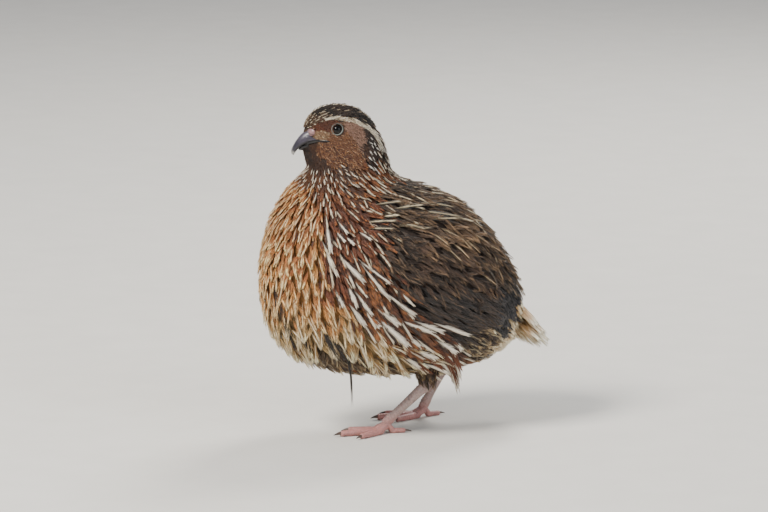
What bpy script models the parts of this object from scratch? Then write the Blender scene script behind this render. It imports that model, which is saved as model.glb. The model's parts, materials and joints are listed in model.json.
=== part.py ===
"""Coturnix quail, life size, standing on both feet with its head turned to its right.

Units are metres and +Z is up. The bird faces -Y, so its left side is at +X. The origin is
on the ground, under the middle of the bird's bounding box.
"""

import math
import random

import bmesh
import bpy
from mathutils import Matrix, Vector
from mathutils.bvhtree import BVHTree

# Clearance between touching pieces.
GAP = 0.0003

# Stations of the body from the face to the rump, with the head square to the body. Each
# joins a point of the front outline (throat, breast, belly) to a point of the back outline
# (crown, nape, back): front y, front z, back y, back z, half width.
FACE_TIP = (-0.0414, 0.1444)
BODY_STATIONS = (
    (-0.0408, 0.1404, -0.0406, 0.1484, 0.0034),
    (-0.0400, 0.1368, -0.0386, 0.1538, 0.0052),
    (-0.0392, 0.1336, -0.0350, 0.1575, 0.0072),
    (-0.0386, 0.1312, -0.0285, 0.1602, 0.0094),
    (-0.0387, 0.1293, -0.0208, 0.1603, 0.0110),
    (-0.0401, 0.1272, -0.0132, 0.1578, 0.0120),
    (-0.0425, 0.1247, -0.0075, 0.1523, 0.0133),
    (-0.0456, 0.1215, -0.0030, 0.1440, 0.0158),
    (-0.0490, 0.1172, 0.0005, 0.1345, 0.0193),
    (-0.0528, 0.1115, 0.0045, 0.1270, 0.0237),
    (-0.0572, 0.1020, 0.0130, 0.1215, 0.0290),
    (-0.0606, 0.0880, 0.0260, 0.1165, 0.0335),
    (-0.0616, 0.0720, 0.0380, 0.1100, 0.0362),
    (-0.0588, 0.0565, 0.0475, 0.1020, 0.0372),
    (-0.0505, 0.0440, 0.0548, 0.0928, 0.0370),
    (-0.0370, 0.0355, 0.0608, 0.0838, 0.0360),
    (-0.0190, 0.0305, 0.0650, 0.0756, 0.0338),
    (0.0020, 0.0282, 0.0678, 0.0688, 0.0302),
    (0.0220, 0.0282, 0.0695, 0.0630, 0.0252),
    (0.0390, 0.0302, 0.0700, 0.0585, 0.0192),
    (0.0515, 0.0338, 0.0712, 0.0545, 0.0130),
    (0.0600, 0.0380, 0.0715, 0.0505, 0.0072),
)
RUMP_TIP = (0.0675, 0.0435)
BELLY_FULLNESS = 0.10
RING_POINTS = 26
HEAD_END = 7.4
NECK_END = 10.2
HEAD_STEP = 0.6
TORSO_STEP = 0.75

# The head turns to the right about the neck's upright axis, fading out down the neck.
HEAD_TURN = math.radians(-20)
NECK_AXIS_Y = -0.020
TURN_FADE = (7.0, 11.0)

# Eye: its place from the side with the head square, the ball and the ring of the lids.
EYE_PLACE = (-0.0237, 0.1502)
EYE_RADIUS = 0.0033
EYE_SINK = 0.0025
LID_RING_RADIUS = 0.00295
LID_THICKNESS = 0.0005
LID_RISE = 0.0007

# Bill stations from the base, inside the face, to the tip: y and z of the mouth edge, y and
# z of the outer ridge (culmen above, gonys below), half width.
UPPER_BILL = (
    (-0.0340, 0.1418, -0.0375, 0.1492, 0.0040),
    (-0.0385, 0.1412, -0.0413, 0.1462, 0.0034),
    (-0.0416, 0.1398, -0.0437, 0.1431, 0.0026),
    (-0.0438, 0.1381, -0.0452, 0.1404, 0.0017),
)
UPPER_BILL_TIP = (-0.0461, 0.1366)
LOWER_BILL = (
    (-0.0340, 0.1412, -0.0345, 0.1382, 0.0035),
    (-0.0385, 0.1406, -0.0385, 0.1375, 0.0029),
    (-0.0414, 0.1391, -0.0410, 0.1372, 0.0020),
)
LOWER_BILL_TIP = (-0.0430, 0.1379)
BILL_ARC_POINTS = 7
NOSTRIL_FLAP = (0.0024, -0.0378, 0.1452)
NOSTRIL_FLAP_SIZE = (0.0023, 0.0029, 0.0020)
NOSTRIL_CENTRE = (0.0042, -0.0392, 0.1434)
NOSTRIL_SIZE = (0.0011, 0.0012, 0.0004)
GAPE_FRONT = (-0.0400, 0.1412)
GAPE_CORNER = (-0.0310, 0.1416)
GAPE_HEIGHT = 0.0007
GAPE_DEPTH = (0.0046, 0.0076)
GAPE_OUT = 0.0120

# Folded wing, seen from the side: the middle line from shoulder to tip as y, z, half
# breadth across it, and thickness over the torso.
WING_LINE = (
    (-0.0215, 0.0965, 0.0070, 0.0008),
    (-0.0130, 0.0925, 0.0140, 0.0024),
    (0.0000, 0.0862, 0.0175, 0.0032),
    (0.0140, 0.0790, 0.0185, 0.0034),
    (0.0270, 0.0718, 0.0175, 0.0030),
    (0.0380, 0.0652, 0.0145, 0.0024),
    (0.0460, 0.0600, 0.0095, 0.0014),
)
WING_COLUMNS = 9
WING_SUNK = 0.0016
WING_CLEAR = 0.0008

# Tail: root, tip and half width of the fan, hanging from the rump.
TAIL_ROOT = (0.0, 0.0600, 0.0560)
TAIL_TIP = (0.0, 0.0765, 0.0420)
TAIL_HALF_WIDTH = 0.0115
TAIL_THICKNESS = 0.0210
# Rings of its core: share of the way to the tip, share of the half width and thickness.
TAIL_CORE = ((0.0, 0.75, 1.0), (0.35, 0.95, 0.78), (0.75, 0.85, 0.45), (1.0, 0.55, 0.22))
TAIL_SIDES = 12

# Legs: height and place of the foot's joint, the hock and a point inside the body (y, z).
LEG_X = 0.0150
LEFT_LEG = ((-0.0045, 0.0052), (0.0175, 0.0235), (0.0150, 0.0400))
RIGHT_LEG = ((0.0260, 0.0052), (0.0385, 0.0270), (0.0330, 0.0430))
THIGH_RADII = (0.0090, 0.0046)
SHANK_RADII = (0.0027, 0.0022)
SHANK_NARROW = 0.72
HOCK_RADIUS = 0.0033
LEG_SIDES = 12
# The down of the thigh ends at this share of the way from hock to hip.
THIGH_END = 0.12

# Toes: name, direction from straight ahead in degrees (outwards positive), length, root
# radius. The hind toe is short and starts higher.
TOES = (
    ("inner", -24.0, 0.0150, 0.0018),
    ("middle", 2.0, 0.0205, 0.0019),
    ("outer", 30.0, 0.0155, 0.0017),
    ("hind", 168.0, 0.0062, 0.0014),
)
TOE_TIP_RATIO = 0.76
TOE_SIDES = 8
# Pads under the long toes: share of the way from knuckle to tip, and how far it swells.
TOE_PADS = ((0.30, 0.92), (0.42, 1.10), (0.76, 1.06))
KNUCKLE_AHEAD = 0.0055
HIND_KNUCKLE_AHEAD = 0.0035
SOLE_SINK = 0.35
FOOT_PAD_RADIUS = 0.0032
SHANK_FOOT = 0.0036
CLAW_LENGTH = 0.0034
CLAW_DROP = 0.0006

# Vanes: the thickness at the edges and at the shaft, how far roots are sunk, and the share
# of the full width at each station from root to tip.
VANE_EDGE = 0.0005
VANE_SHAFT = 0.0008
VANE_SINK = 0.0022
VANE_STATIONS = (0.0, 0.40, 0.82)
VANE_STEPS = (0.40, 0.42, 0.18)
VANE_WIDTHS = (0.50, 1.0, 0.78)
VANE_ROOT_LIFT = 0.30

# How much vanes vary either way: place of the root, lie in degrees, and share of the size.
ROOT_SPREAD = 0.0009
LIE_SPREAD = 5.0
SIZE_SPREAD = 0.10


def vary(draw, spread):
    """A random amount, as far as the spread either way."""
    return draw.uniform(-spread, spread)


class Tier:
    """A tier of vanes: where its roots run, and the size and lie of its vanes."""

    def __init__(self, start, end, count, length, width, lie, lift):
        self.start = start
        self.end = end
        self.count = count
        self.length = length
        self.width = width
        self.lie = lie
        self.lift = lift

    def vanes(self, draw):
        """Root, length, width and lie of each vane, from the start of the tier to its end."""
        for step in range(self.count):
            share = step / max(self.count - 1, 1)
            root = [a + (b - a) * share for a, b in zip(self.start, self.end)]
            root = [place + vary(draw, ROOT_SPREAD) for place in root]
            lie = self.lie[0] + (self.lie[1] - self.lie[0]) * share + vary(draw, LIE_SPREAD)
            size = 1 + vary(draw, SIZE_SPREAD)
            yield root, self.length * size, self.width * size, math.radians(lie)


# Lies are in degrees from the view's right, anticlockwise. In a side view of the left side
# the right is the tail's side, so -40 runs back and down. Roots are y, z there. The lowest
# tier comes first.
FLANK_TIERS = (
    Tier((0.0030, 0.0400), (0.0210, 0.0450), 5, 0.0240, 0.0072, (-62, -56), 0.0018),
    Tier((-0.0120, 0.0430), (0.0070, 0.0530), 5, 0.0240, 0.0072, (-56, -44), 0.0020),
    Tier((-0.0240, 0.0490), (-0.0050, 0.0620), 5, 0.0230, 0.0068, (-54, -38), 0.0020),
    Tier((-0.0340, 0.0590), (-0.0170, 0.0720), 4, 0.0215, 0.0064, (-56, -40), 0.0018),
    Tier((-0.0410, 0.0700), (-0.0310, 0.0840), 3, 0.0190, 0.0060, (-58, -46), 0.0016),
)
WING_TIERS = (
    Tier((0.0270, 0.0540), (0.0430, 0.0720), 6, 0.0235, 0.0064, (-24, -50), 0.0010),
    Tier((0.0110, 0.0620), (0.0330, 0.0860), 6, 0.0230, 0.0068, (-26, -42), 0.0016),
    Tier((-0.0030, 0.0700), (0.0190, 0.0960), 5, 0.0200, 0.0078, (-32, -38), 0.0016),
    Tier((-0.0150, 0.0800), (0.0050, 0.1030), 5, 0.0165, 0.0072, (-38, -32), 0.0016),
)
# Roots are seen from above and behind: x, and how far down the back. There 90 runs back.
BACK_TILT = math.radians(45)
BACK_FALL = 0.9
BACK_TIERS = (
    Tier((-0.0110, -0.0190), (0.0110, -0.0190), 4, 0.0150, 0.0070, (98, 82), 0.0018),
    Tier((-0.0160, -0.0320), (0.0160, -0.0320), 5, 0.0165, 0.0070, (101, 79), 0.0022),
    Tier((-0.0190, -0.0460), (0.0190, -0.0460), 5, 0.0175, 0.0080, (103, 77), 0.0024),
    Tier((-0.0190, -0.0600), (0.0190, -0.0600), 5, 0.0175, 0.0078, (105, 75), 0.0022),
    Tier((-0.0170, -0.0720), (0.0170, -0.0720), 4, 0.0150, 0.0076, (108, 72), 0.0016),
)
# Locks hang all round the lower belly in two rows: height and length, in front and behind.
BELLY_ROWS = ((17, 0.0510, 0.0400, 0.0125, 0.0165), (16, 0.0580, 0.0450, 0.0115, 0.0140))
BELLY_SPAN = math.radians(250)
BELLY_WIDTH = 0.0084
BELLY_CENTRE_Y = -0.0020
BELLY_LIFT = 0.0016
# Layers of the tail: vanes, length, rise over its middle, share of the way from its root
# and droop of the tips. The fan of the tail feathers lies between coverts.
TAIL_LAYERS = (
    (7, 0.0230, 0.0006, 0.35, -0.0006),
    (4, 0.0200, 0.0050, 0.15, -0.0020),
    (5, 0.0160, 0.0088, 0.05, -0.0030),
    (4, 0.0165, -0.0066, 0.35, 0.0030),
)
TAIL_VANE_WIDTH = 0.0072
TAIL_FAN = math.radians(30)
TAIL_ROOTS_SPREAD = 0.75
TAIL_ARCH = 0.6
TAIL_OUTER_SHORTER = 0.12
SEED = 11


def paint(name, colour, roughness):
    """A Principled material of one colour."""
    made = bpy.data.materials.new(name)
    made.use_nodes = True
    shader = made.node_tree.nodes["Principled BSDF"]
    shader.inputs["Base Color"].default_value = (*colour, 1.0)
    shader.inputs["Roughness"].default_value = roughness
    made.diffuse_color = (*colour, 1.0)
    return made


def blend_rows(rows, place):
    """The row of a table at a place between its rows, on a Catmull-Rom curve."""
    last = len(rows) - 1
    low = min(int(place), last - 1)
    part = place - low
    a, b, c, d = (rows[min(max(low + k, 0), last)] for k in (-1, 0, 1, 2))
    return tuple(
        0.5
        * (
            2 * q
            + (r - p) * part
            + (2 * p - 5 * q + 4 * r - s) * part**2
            + (3 * q - p - 3 * r + s) * part**3
        )
        for p, q, r, s in zip(a, b, c, d)
    )


def fade(value, low, high):
    """0 below low, 1 above high, and a smooth step between."""
    part = min(max((value - low) / (high - low), 0.0), 1.0)
    return part * part * (3 - 2 * part)


def turned(point, share=1.0):
    """A point of the square head, turned with the head by a share of its turn."""
    axis = Vector((0.0, NECK_AXIS_Y, 0.0))
    return Matrix.Rotation(HEAD_TURN * share, 3, "Z") @ (Vector(point) - axis) + axis


def body_ring(place, along=0.0):
    """The ring of points round the body at a place among its stations."""
    front_y, front_z, back_y, back_z, width = blend_rows(BODY_STATIONS, place)
    centre = Vector((0.0, (front_y + back_y) / 2, (front_z + back_z) / 2))
    half = Vector((0.0, (back_y - front_y) / 2, (back_z - front_z) / 2))
    shift = Vector((0.0, half.z, -half.y)).normalized() * along
    share = 1.0 - fade(place, *TURN_FADE)
    ring = []
    for step in range(RING_POINTS):
        angle = 2 * math.pi * step / RING_POINTS
        reach = width * math.sin(angle) * (1 - BELLY_FULLNESS * math.cos(angle))
        point = centre + shift + half * math.cos(angle) + Vector((reach, 0.0, 0.0))
        ring.append(turned(point, share))
    return ring


def add_object(name, bm, material=None):
    """Turns a bmesh into an object in the scene, with its faces pointing out."""
    bmesh.ops.recalc_face_normals(bm, faces=bm.faces)
    mesh = bpy.data.meshes.new(name)
    bm.to_mesh(mesh)
    bm.free()
    made = bpy.data.objects.new(name, mesh)
    bpy.context.scene.collection.objects.link(made)
    if material:
        mesh.materials.append(material)
    return made


def extrude_loop(bm, loop, edges, ring):
    """Extrudes a closed loop of edges to a new ring of points."""
    grown = bmesh.ops.extrude_edge_only(bm, edges=edges)["geom"]
    fresh = {item for item in grown if isinstance(item, bmesh.types.BMVert)}
    following = []
    for vert, place in zip(loop, ring):
        partner = next(e.other_vert(vert) for e in vert.link_edges if e.other_vert(vert) in fresh)
        partner.co = place
        following.append(partner)
    sides = [bm.edges.get((a, b)) for a, b in zip(following, following[1:] + following[:1])]
    return following, sides


def skin_rings(name, rings, material=None, first_pole=None, last_pole=None):
    """A closed mesh through rings of points, ended by a flat cap or by a pole."""
    bm = bmesh.new()
    start = [bm.verts.new(point) for point in rings[0]]
    rim = [bm.edges.new((a, b)) for a, b in zip(start, start[1:] + start[:1])]
    loop, edges = start, rim
    for ring in rings[1:]:
        loop, edges = extrude_loop(bm, loop, edges, ring)
    for verts, sides, pole in ((start, rim, first_pole), (loop, edges, last_pole)):
        if pole is None:
            bmesh.ops.contextual_create(bm, geom=sides)
        else:
            tip, _ = extrude_loop(bm, verts, sides, [pole] * len(verts))
            bmesh.ops.pointmerge(bm, verts=tip, merge_co=pole)
    return add_object(name, bm, material)


def places(start, end, step):
    """Evenly spread places from start to end, about step apart."""
    count = max(2, round((end - start) / step))
    return [start + (end - start) * k / count for k in range(count + 1)]


def round_off(target):
    """Shades a mesh smooth, apart from its sharp edges."""
    target.data.shade_smooth()
    target.data.set_sharp_from_angle(angle=math.radians(50))


def boolean(target, others, operation, solver="EXACT", keep=False):
    """Joins or cuts a mesh with other closed meshes, and applies the result."""
    pieces = bpy.data.collections.new("pieces")
    bpy.context.scene.collection.children.link(pieces)
    for other in others:
        pieces.objects.link(other)
    modifier = target.modifiers.new(operation.title(), "BOOLEAN")
    modifier.operation = operation
    modifier.operand_type = "COLLECTION"
    modifier.collection = pieces
    modifier.solver = solver
    bpy.context.view_layer.update()
    graph = bpy.context.evaluated_depsgraph_get()
    result = bpy.data.meshes.new_from_object(target.evaluated_get(graph))
    target.modifiers.clear()
    target.data = result
    bpy.data.collections.remove(pieces)
    if not keep:
        for other in others:
            bpy.data.objects.remove(other)
    keep_largest(target)


def keep_largest(target):
    """Keeps only the largest closed surface of a mesh."""
    bm = bmesh.new()
    bm.from_mesh(target.data)
    bmesh.ops.triangulate(bm, faces=bm.faces)
    shells, seen = [], set()
    for first in bm.faces:
        if first in seen:
            continue
        shell, queue = [], [first]
        seen.add(first)
        while queue:
            face = queue.pop()
            shell.append(face)
            for edge in face.edges:
                for other in edge.link_faces if len(edge.link_faces) == 2 else ():
                    if other not in seen:
                        seen.add(other)
                        queue.append(other)
        shells.append(shell)
    shells.sort(key=shell_size)
    scraps = [face for shell in shells[:-1] for face in shell]
    bmesh.ops.delete(bm, geom=scraps, context="FACES")
    bm.to_mesh(target.data)
    bm.free()


def shell_size(shell):
    """The diagonal of the box round some faces."""
    corners = [vert.co for face in shell for vert in face.verts]
    spans = [max(c[k] for c in corners) - min(c[k] for c in corners) for k in range(3)]
    return math.sqrt(sum(span * span for span in spans))


def grown_copy(source, distance):
    """A copy of a mesh moved out along its normals, as a cutter that leaves a gap."""
    bm = bmesh.new()
    bm.from_mesh(source.data)
    bm.normal_update()
    moves = [(vert, vert.normal * vert.calc_shell_factor() * distance) for vert in bm.verts]
    for vert, move in moves:
        vert.co += move
    cutter = add_object(source.name + "_cutter", bm)
    cutter.hide_render = True
    cutter.display_type = "WIRE"
    return cutter


def ellipsoid(name, centre, size, turn=None, segments=12, rings=7):
    """A closed ellipsoid with the given half sizes."""
    bm = bmesh.new()
    bmesh.ops.create_uvsphere(bm, u_segments=segments, v_segments=rings, radius=1.0)
    matrix = Matrix.Translation(centre) @ (turn or Matrix()) @ Matrix.Diagonal((*size, 1.0))
    bmesh.ops.transform(bm, matrix=matrix, verts=bm.verts)
    return add_object(name, bm)


def tapered_tube(name, points, radii, sides, material=None, narrow=1.0, floor=None):
    """A closed tube through points, each with its own radius."""
    rings = []
    for k, (point, radius) in enumerate(zip(points, radii)):
        before, after = points[max(k - 1, 0)], points[min(k + 1, len(points) - 1)]
        along = (Vector(after) - Vector(before)).normalized()
        turn = along.to_track_quat("Z", "X").to_matrix()
        ring = []
        for step in range(sides):
            angle = 2 * math.pi * (step + 0.5) / sides
            spoke = turn @ Vector((math.cos(angle), math.sin(angle), 0.0)) * radius
            spoke.x *= narrow
            corner = Vector(point) + spoke
            if floor is not None:
                corner.z = max(corner.z, floor)
            ring.append(corner)
        rings.append(ring)
    return skin_rings(name, rings, material)


class View:
    """A flat view of the bird, through which vanes are laid on what it shows."""

    def __init__(self, outward, right, grounds, fall=0.35):
        self.outward = Vector(outward).normalized()
        self.fall = fall
        self.right = Vector(right)
        self.up = self.outward.cross(self.right)
        self.grounds = grounds

    def settle(self, spot):
        """The surface point and normal behind a spot of the view, or None."""
        start = self.outward * 0.3 + self.right * spot[0] + self.up * spot[1]
        hits = []
        for tree, lift in self.grounds:
            hit, normal, _, far = tree.ray_cast(start, -self.outward)
            if hit is not None:
                hits.append((far - lift, hit + normal * lift, normal))
        return min(hits, key=lambda one: one[0])[1:] if hits else None

    def lay(self, root, length, width, lie, lift):
        """One vane, from its sunk root along the surface, and hanging on past its edge."""
        ahead = (math.cos(lie), math.sin(lie))
        hit, normal = self.settle(root)
        points, normals = [hit - normal * VANE_SINK], [normal]
        lowest = hit.dot(self.outward) + lift * VANE_ROOT_LIFT
        for share, step in zip((*VANE_STATIONS[1:], 1.0), VANE_STEPS):
            spot = [root[k] + ahead[k] * length * share for k in (0, 1)]
            lowest -= self.fall * length * step
            found = self.settle(spot)
            rise = lift * (VANE_ROOT_LIFT + (1 - VANE_ROOT_LIFT) * share)
            if found is None or (found[0] + found[1] * rise).dot(self.outward) < lowest:
                points.append(self.right * spot[0] + self.up * spot[1] + self.outward * lowest)
                normals.append(normals[-1])
                continue
            points.append(found[0] + found[1] * rise)
            normals.append(found[1])
            lowest = points[-1].dot(self.outward)
        return vane("vane", points, normals, width)


def tree_of(target):
    """The surface of an object, for finding points on it."""
    bm = bmesh.new()
    bm.from_mesh(target.data)
    tree = BVHTree.FromBMesh(bm)
    bm.free()
    return tree


def vane(name, points, normals, width):
    """A closed blade through points: flat below, with a raised shaft along its top."""
    rings = []
    for k, share in enumerate(VANE_WIDTHS):
        along = (points[k + 1] - points[max(k - 1, 0)]).normalized()
        across = along.cross(normals[k]).normalized() * width * share / 2
        up = across.cross(along).normalized()
        thin = 1.0 - 0.35 * VANE_STATIONS[k]
        edge, shaft = up * VANE_EDGE * thin, up * VANE_SHAFT * thin
        base = points[k]
        left, right = base - across, base + across
        rings.append([left, right, right + edge, base + shaft, left + edge])
    return skin_rings(name, rings, last_pole=points[-1] + up * VANE_EDGE * 0.5)


def make_head(material):
    """The head with its lid rings and eye sockets, and where each eye sits."""
    rings = [body_ring(place) for place in places(0.0, HEAD_END, HEAD_STEP)]
    head = skin_rings("head", rings, material, first_pole=turned((0.0, *FACE_TIP)))
    tree = tree_of(head)
    eyes = [eye_seat(tree, side) for side in (1, -1)]
    boolean(head, [lid_ring(seat) for seat in eyes], "UNION")
    boolean(head, [eye_ball("socket", seat, EYE_RADIUS + GAP) for seat in eyes], "DIFFERENCE")
    return head, eyes


def on_side(point, side):
    """A point or direction given for the left side, for either side of the square head."""
    return Vector((point[0] * side, point[1], point[2]))


def eye_seat(tree, side):
    """Where an eye's ball sits in the face, looking out along the face's own normal."""
    start = turned((0.05 * side, *EYE_PLACE))
    inward = turned((0.0, *EYE_PLACE)) - start
    hit, normal, _, _ = tree.ray_cast(start, inward.normalized())
    turn = normal.to_track_quat("Z", "Y").to_matrix().to_4x4()
    return Matrix.Translation(hit - normal * EYE_SINK) @ turn


def eye_ball(name, seat, radius, material=None):
    """One eyeball, or its socket when it is made a little larger."""
    ball = ellipsoid(name, seat.translation, (radius,) * 3, seat.to_3x3().to_4x4())
    if material:
        ball.data.materials.append(material)
        ball.data.shade_smooth()
    return ball


def lid_ring(seat):
    """The raised ring of both lids, set where the socket opens."""
    rise = math.sqrt((EYE_RADIUS + GAP) ** 2 - LID_RING_RADIUS**2) + LID_RISE
    bm = bmesh.new()
    profile = bmesh.ops.create_circle(bm, cap_ends=False, segments=6, radius=LID_THICKNESS)["verts"]
    stand = Matrix.Translation((LID_RING_RADIUS, 0.0, rise)) @ Matrix.Rotation(math.pi / 2, 4, "X")
    bmesh.ops.transform(bm, matrix=stand, verts=profile)
    bmesh.ops.spin(
        bm,
        geom=bm.verts[:] + bm.edges[:],
        cent=(0, 0, 0),
        axis=(0, 0, 1),
        angle=2 * math.pi,
        steps=16,
        use_merge=True,
    )
    bmesh.ops.remove_doubles(bm, verts=bm.verts, dist=1e-6)
    bmesh.ops.transform(bm, matrix=seat, verts=bm.verts)
    return add_object("lids", bm)


def gape_cutter(side):
    """A thin wedge that cuts the line of the mouth into one cheek."""
    front, corner = Vector((0.0, *GAPE_FRONT)), Vector((0.0, *GAPE_CORNER))
    rings = []
    for share in (0.0, 0.5, 1.0):
        spot = front.lerp(corner, share)
        inner = GAPE_DEPTH[0] + (GAPE_DEPTH[1] - GAPE_DEPTH[0]) * share
        half = GAPE_HEIGHT / 2 * (1.15 - share)
        ring = ((inner, -half), (GAPE_OUT, -half), (GAPE_OUT, half), (inner, half))
        rings.append([turned((x * side, spot.y, spot.z + z)) for x, z in ring])
    return skin_rings("gape", rings)


def bill_half(name, stations, tip, material):
    """One half of the bill: an arch over the mouth edge, from inside the face to its tip."""
    rings = []
    for place in places(0.0, len(stations) - 1.0, 0.5):
        edge_y, edge_z, ridge_y, ridge_z, width = blend_rows(stations, place)
        ring = []
        for step in range(BILL_ARC_POINTS):
            angle = math.pi * step / (BILL_ARC_POINTS - 1)
            rise = math.sin(angle) ** 0.85
            y = edge_y + (ridge_y - edge_y) * rise
            z = edge_z + (ridge_z - edge_z) * rise
            ring.append(turned((width * math.cos(angle), y, z)))
        rings.append(ring)
    return skin_rings(name, rings, material, last_pole=turned((0.0, *tip)))


def make_bill(head, material):
    """Both halves of the bill, let into the face, with flaps and slits at the nostrils."""
    upper = bill_half("bill_upper", UPPER_BILL, UPPER_BILL_TIP, material)
    lower = bill_half("bill_lower", LOWER_BILL, LOWER_BILL_TIP, material)
    flaps, slits, room = [], [], []
    turn = Matrix.Rotation(HEAD_TURN, 4, "Z")
    for side in (1, -1):
        flap = turned(on_side(NOSTRIL_FLAP, side))
        flaps.append(ellipsoid("flap", flap, NOSTRIL_FLAP_SIZE, turn, 10, 6))
        room.append(ellipsoid("flap_room", flap, [s + GAP for s in NOSTRIL_FLAP_SIZE], turn, 10, 6))
        slits.append(ellipsoid("slit", turned(on_side(NOSTRIL_CENTRE, side)), NOSTRIL_SIZE, turn, 8, 5))
    room += [grown_copy(half, GAP) for half in (upper, lower)]
    boolean(head, room, "DIFFERENCE", solver="MANIFOLD")
    boolean(head, [gape_cutter(side) for side in (1, -1)], "DIFFERENCE", solver="MANIFOLD")
    round_off(head)
    boolean(upper, flaps, "UNION")
    boolean(upper, slits, "DIFFERENCE")
    for half in (upper, lower):
        round_off(half)


def make_neck(material):
    """The neck, between the flat cuts behind the head and above the torso."""
    inner = [body_ring(place) for place in places(HEAD_END, NECK_END, HEAD_STEP)[1:-1]]
    rings = [body_ring(HEAD_END, along=GAP), *inner, body_ring(NECK_END)]
    round_off(skin_rings("neck", rings, material))


def torso_core(material):
    """The plain torso from the base of the neck to the rump."""
    last = len(BODY_STATIONS) - 1.0
    inner = [body_ring(place) for place in places(NECK_END, last, TORSO_STEP)[1:]]
    rings = [body_ring(NECK_END, along=GAP), *inner]
    return skin_rings("torso", rings, material, last_pole=(0.0, *RUMP_TIP))


def feather_torso(torso, tree, draw):
    """Fuses the feathers of flanks, back and belly with the torso."""
    vanes = []
    behind = (0.0, math.sin(BACK_TILT), math.cos(BACK_TILT))
    above = View(behind, (1, 0, 0), [(tree, 0.0)], BACK_FALL)
    for tier in BACK_TIERS:
        vanes += [above.lay(*one, tier.lift) for one in tier.vanes(draw)]
    for side in (1, -1):
        beside = View((side, 0, 0), (0, side, 0), [(tree, 0.0)])
        for tier in FLANK_TIERS:
            for root, length, width, lie in tier.vanes(draw):
                root, lie = mirror_lie(root, lie, side)
                vanes.append(beside.lay(root, length, width, lie, tier.lift))
    vanes += belly_locks(tree, draw)
    boolean(torso, vanes, "UNION", solver="MANIFOLD")
    round_off(torso)


def mirror_lie(root, lie, side):
    """A root and lie given for the left side, as seen in the view of either side."""
    return ((root[0] * side, root[1]), lie if side > 0 else math.pi - lie)


def belly_locks(tree, draw):
    """Loose locks that hang all round the lower belly, apart from under the tail."""
    locks = []
    for count, front_height, back_height, front_length, back_length in BELLY_ROWS:
        for step in range(count):
            share = step / (count - 1)
            angle = BELLY_SPAN * (share - 0.5)
            backwards = abs(2 * share - 1)
            outward = (math.sin(angle), -math.cos(angle), 0.0)
            right = (math.cos(angle), math.sin(angle), 0.0)
            height = front_height + (back_height - front_height) * backwards
            root = (right[1] * BELLY_CENTRE_Y, height + vary(draw, ROOT_SPREAD))
            size = 1 + vary(draw, SIZE_SPREAD)
            length = (front_length + (back_length - front_length) * backwards) * size
            lie = math.radians(-90 + vary(draw, LIE_SPREAD))
            around = View(outward, right, [(tree, 0.0)])
            locks.append(around.lay(root, length, BELLY_WIDTH * size, lie, BELLY_LIFT))
    return locks


def make_wing(side, tree, cutter, material, draw):
    """A folded wing along the torso, with flight feathers and coverts in tiers."""
    beside = View((side, 0, 0), (0, side, 0), [(tree, 0.0)])
    rings = []
    for place in places(0.0, len(WING_LINE) - 1.0, 0.5):
        y, z, breadth, thickness = blend_rows(WING_LINE, place)
        ahead = blend_rows(WING_LINE, min(place + 0.1, len(WING_LINE) - 1.0))
        behind = blend_rows(WING_LINE, max(place - 0.1, 0.0))
        along = Vector((ahead[0] - behind[0], ahead[1] - behind[1])).normalized()
        across = Vector((along.y, -along.x)) * breadth
        top, bottom = [], []
        for step in range(WING_COLUMNS):
            share = 2 * step / (WING_COLUMNS - 1) - 1
            point, normal = beside.settle(((y + across.x * share) * side, z + across.y * share))
            crown = WING_CLEAR + thickness * math.sqrt(max(0.0, 1 - share * share))
            top.append(point + normal * crown)
            bottom.append(point - normal * WING_SUNK)
        rings.append(top + bottom[::-1])
    name = "wing_left" if side > 0 else "wing_right"
    wing = skin_rings(name, rings, material)
    over = View((side, 0, 0), (0, side, 0), [(tree_of(wing), 0.0), (tree, WING_CLEAR)])
    vanes = []
    for tier in WING_TIERS:
        for root, length, width, lie in tier.vanes(draw):
            root, lie = mirror_lie(root, lie, side)
            vanes.append(over.lay(root, length, width, lie, tier.lift))
    boolean(wing, vanes, "UNION", solver="MANIFOLD")
    boolean(wing, [cutter], "DIFFERENCE", solver="MANIFOLD", keep=True)
    round_off(wing)


def make_tail(cutter, material, draw):
    """The short, drooping tail: a fan of soft feathers under shorter coverts."""
    root, tip = Vector(TAIL_ROOT), Vector(TAIL_TIP)
    along = (tip - root).normalized()
    side = Vector((1.0, 0.0, 0.0))
    up = side.cross(along).normalized()
    rings = []
    for share, spread, depth in TAIL_CORE:
        ring = []
        for step in range(TAIL_SIDES):
            angle = 2 * math.pi * step / TAIL_SIDES
            spoke = side * TAIL_HALF_WIDTH * spread * math.cos(angle)
            spoke += up * TAIL_THICKNESS / 2 * depth * math.sin(angle)
            ring.append(root.lerp(tip, share) + spoke)
        rings.append(ring)
    tail = skin_rings("tail", rings, material)
    vanes = []
    for count, length, rise, from_root, droop in TAIL_LAYERS:
        for step in range(count):
            share = 2 * step / (count - 1) - 1
            ahead = Matrix.Rotation(-TAIL_FAN * share, 3, up) @ along
            start = root.lerp(tip, from_root) + side * TAIL_HALF_WIDTH * TAIL_ROOTS_SPREAD * share
            start += up * rise * (1 - 0.5 * share * share)
            reach = length * (1 - TAIL_OUTER_SHORTER * share * share) * (1 + vary(draw, SIZE_SPREAD))
            tilt = up * math.cos(share * TAIL_ARCH) + side * math.sin(share * TAIL_ARCH)
            points = [
                start + ahead * reach * part + up * droop * part * part
                for part in (*VANE_STATIONS, 1.0)
            ]
            vanes.append(vane("vane", points, [tilt] * len(points), TAIL_VANE_WIDTH))
    boolean(tail, vanes, "UNION", solver="MANIFOLD")
    boolean(tail, [cutter], "DIFFERENCE", solver="MANIFOLD", keep=True)
    round_off(tail)


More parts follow.
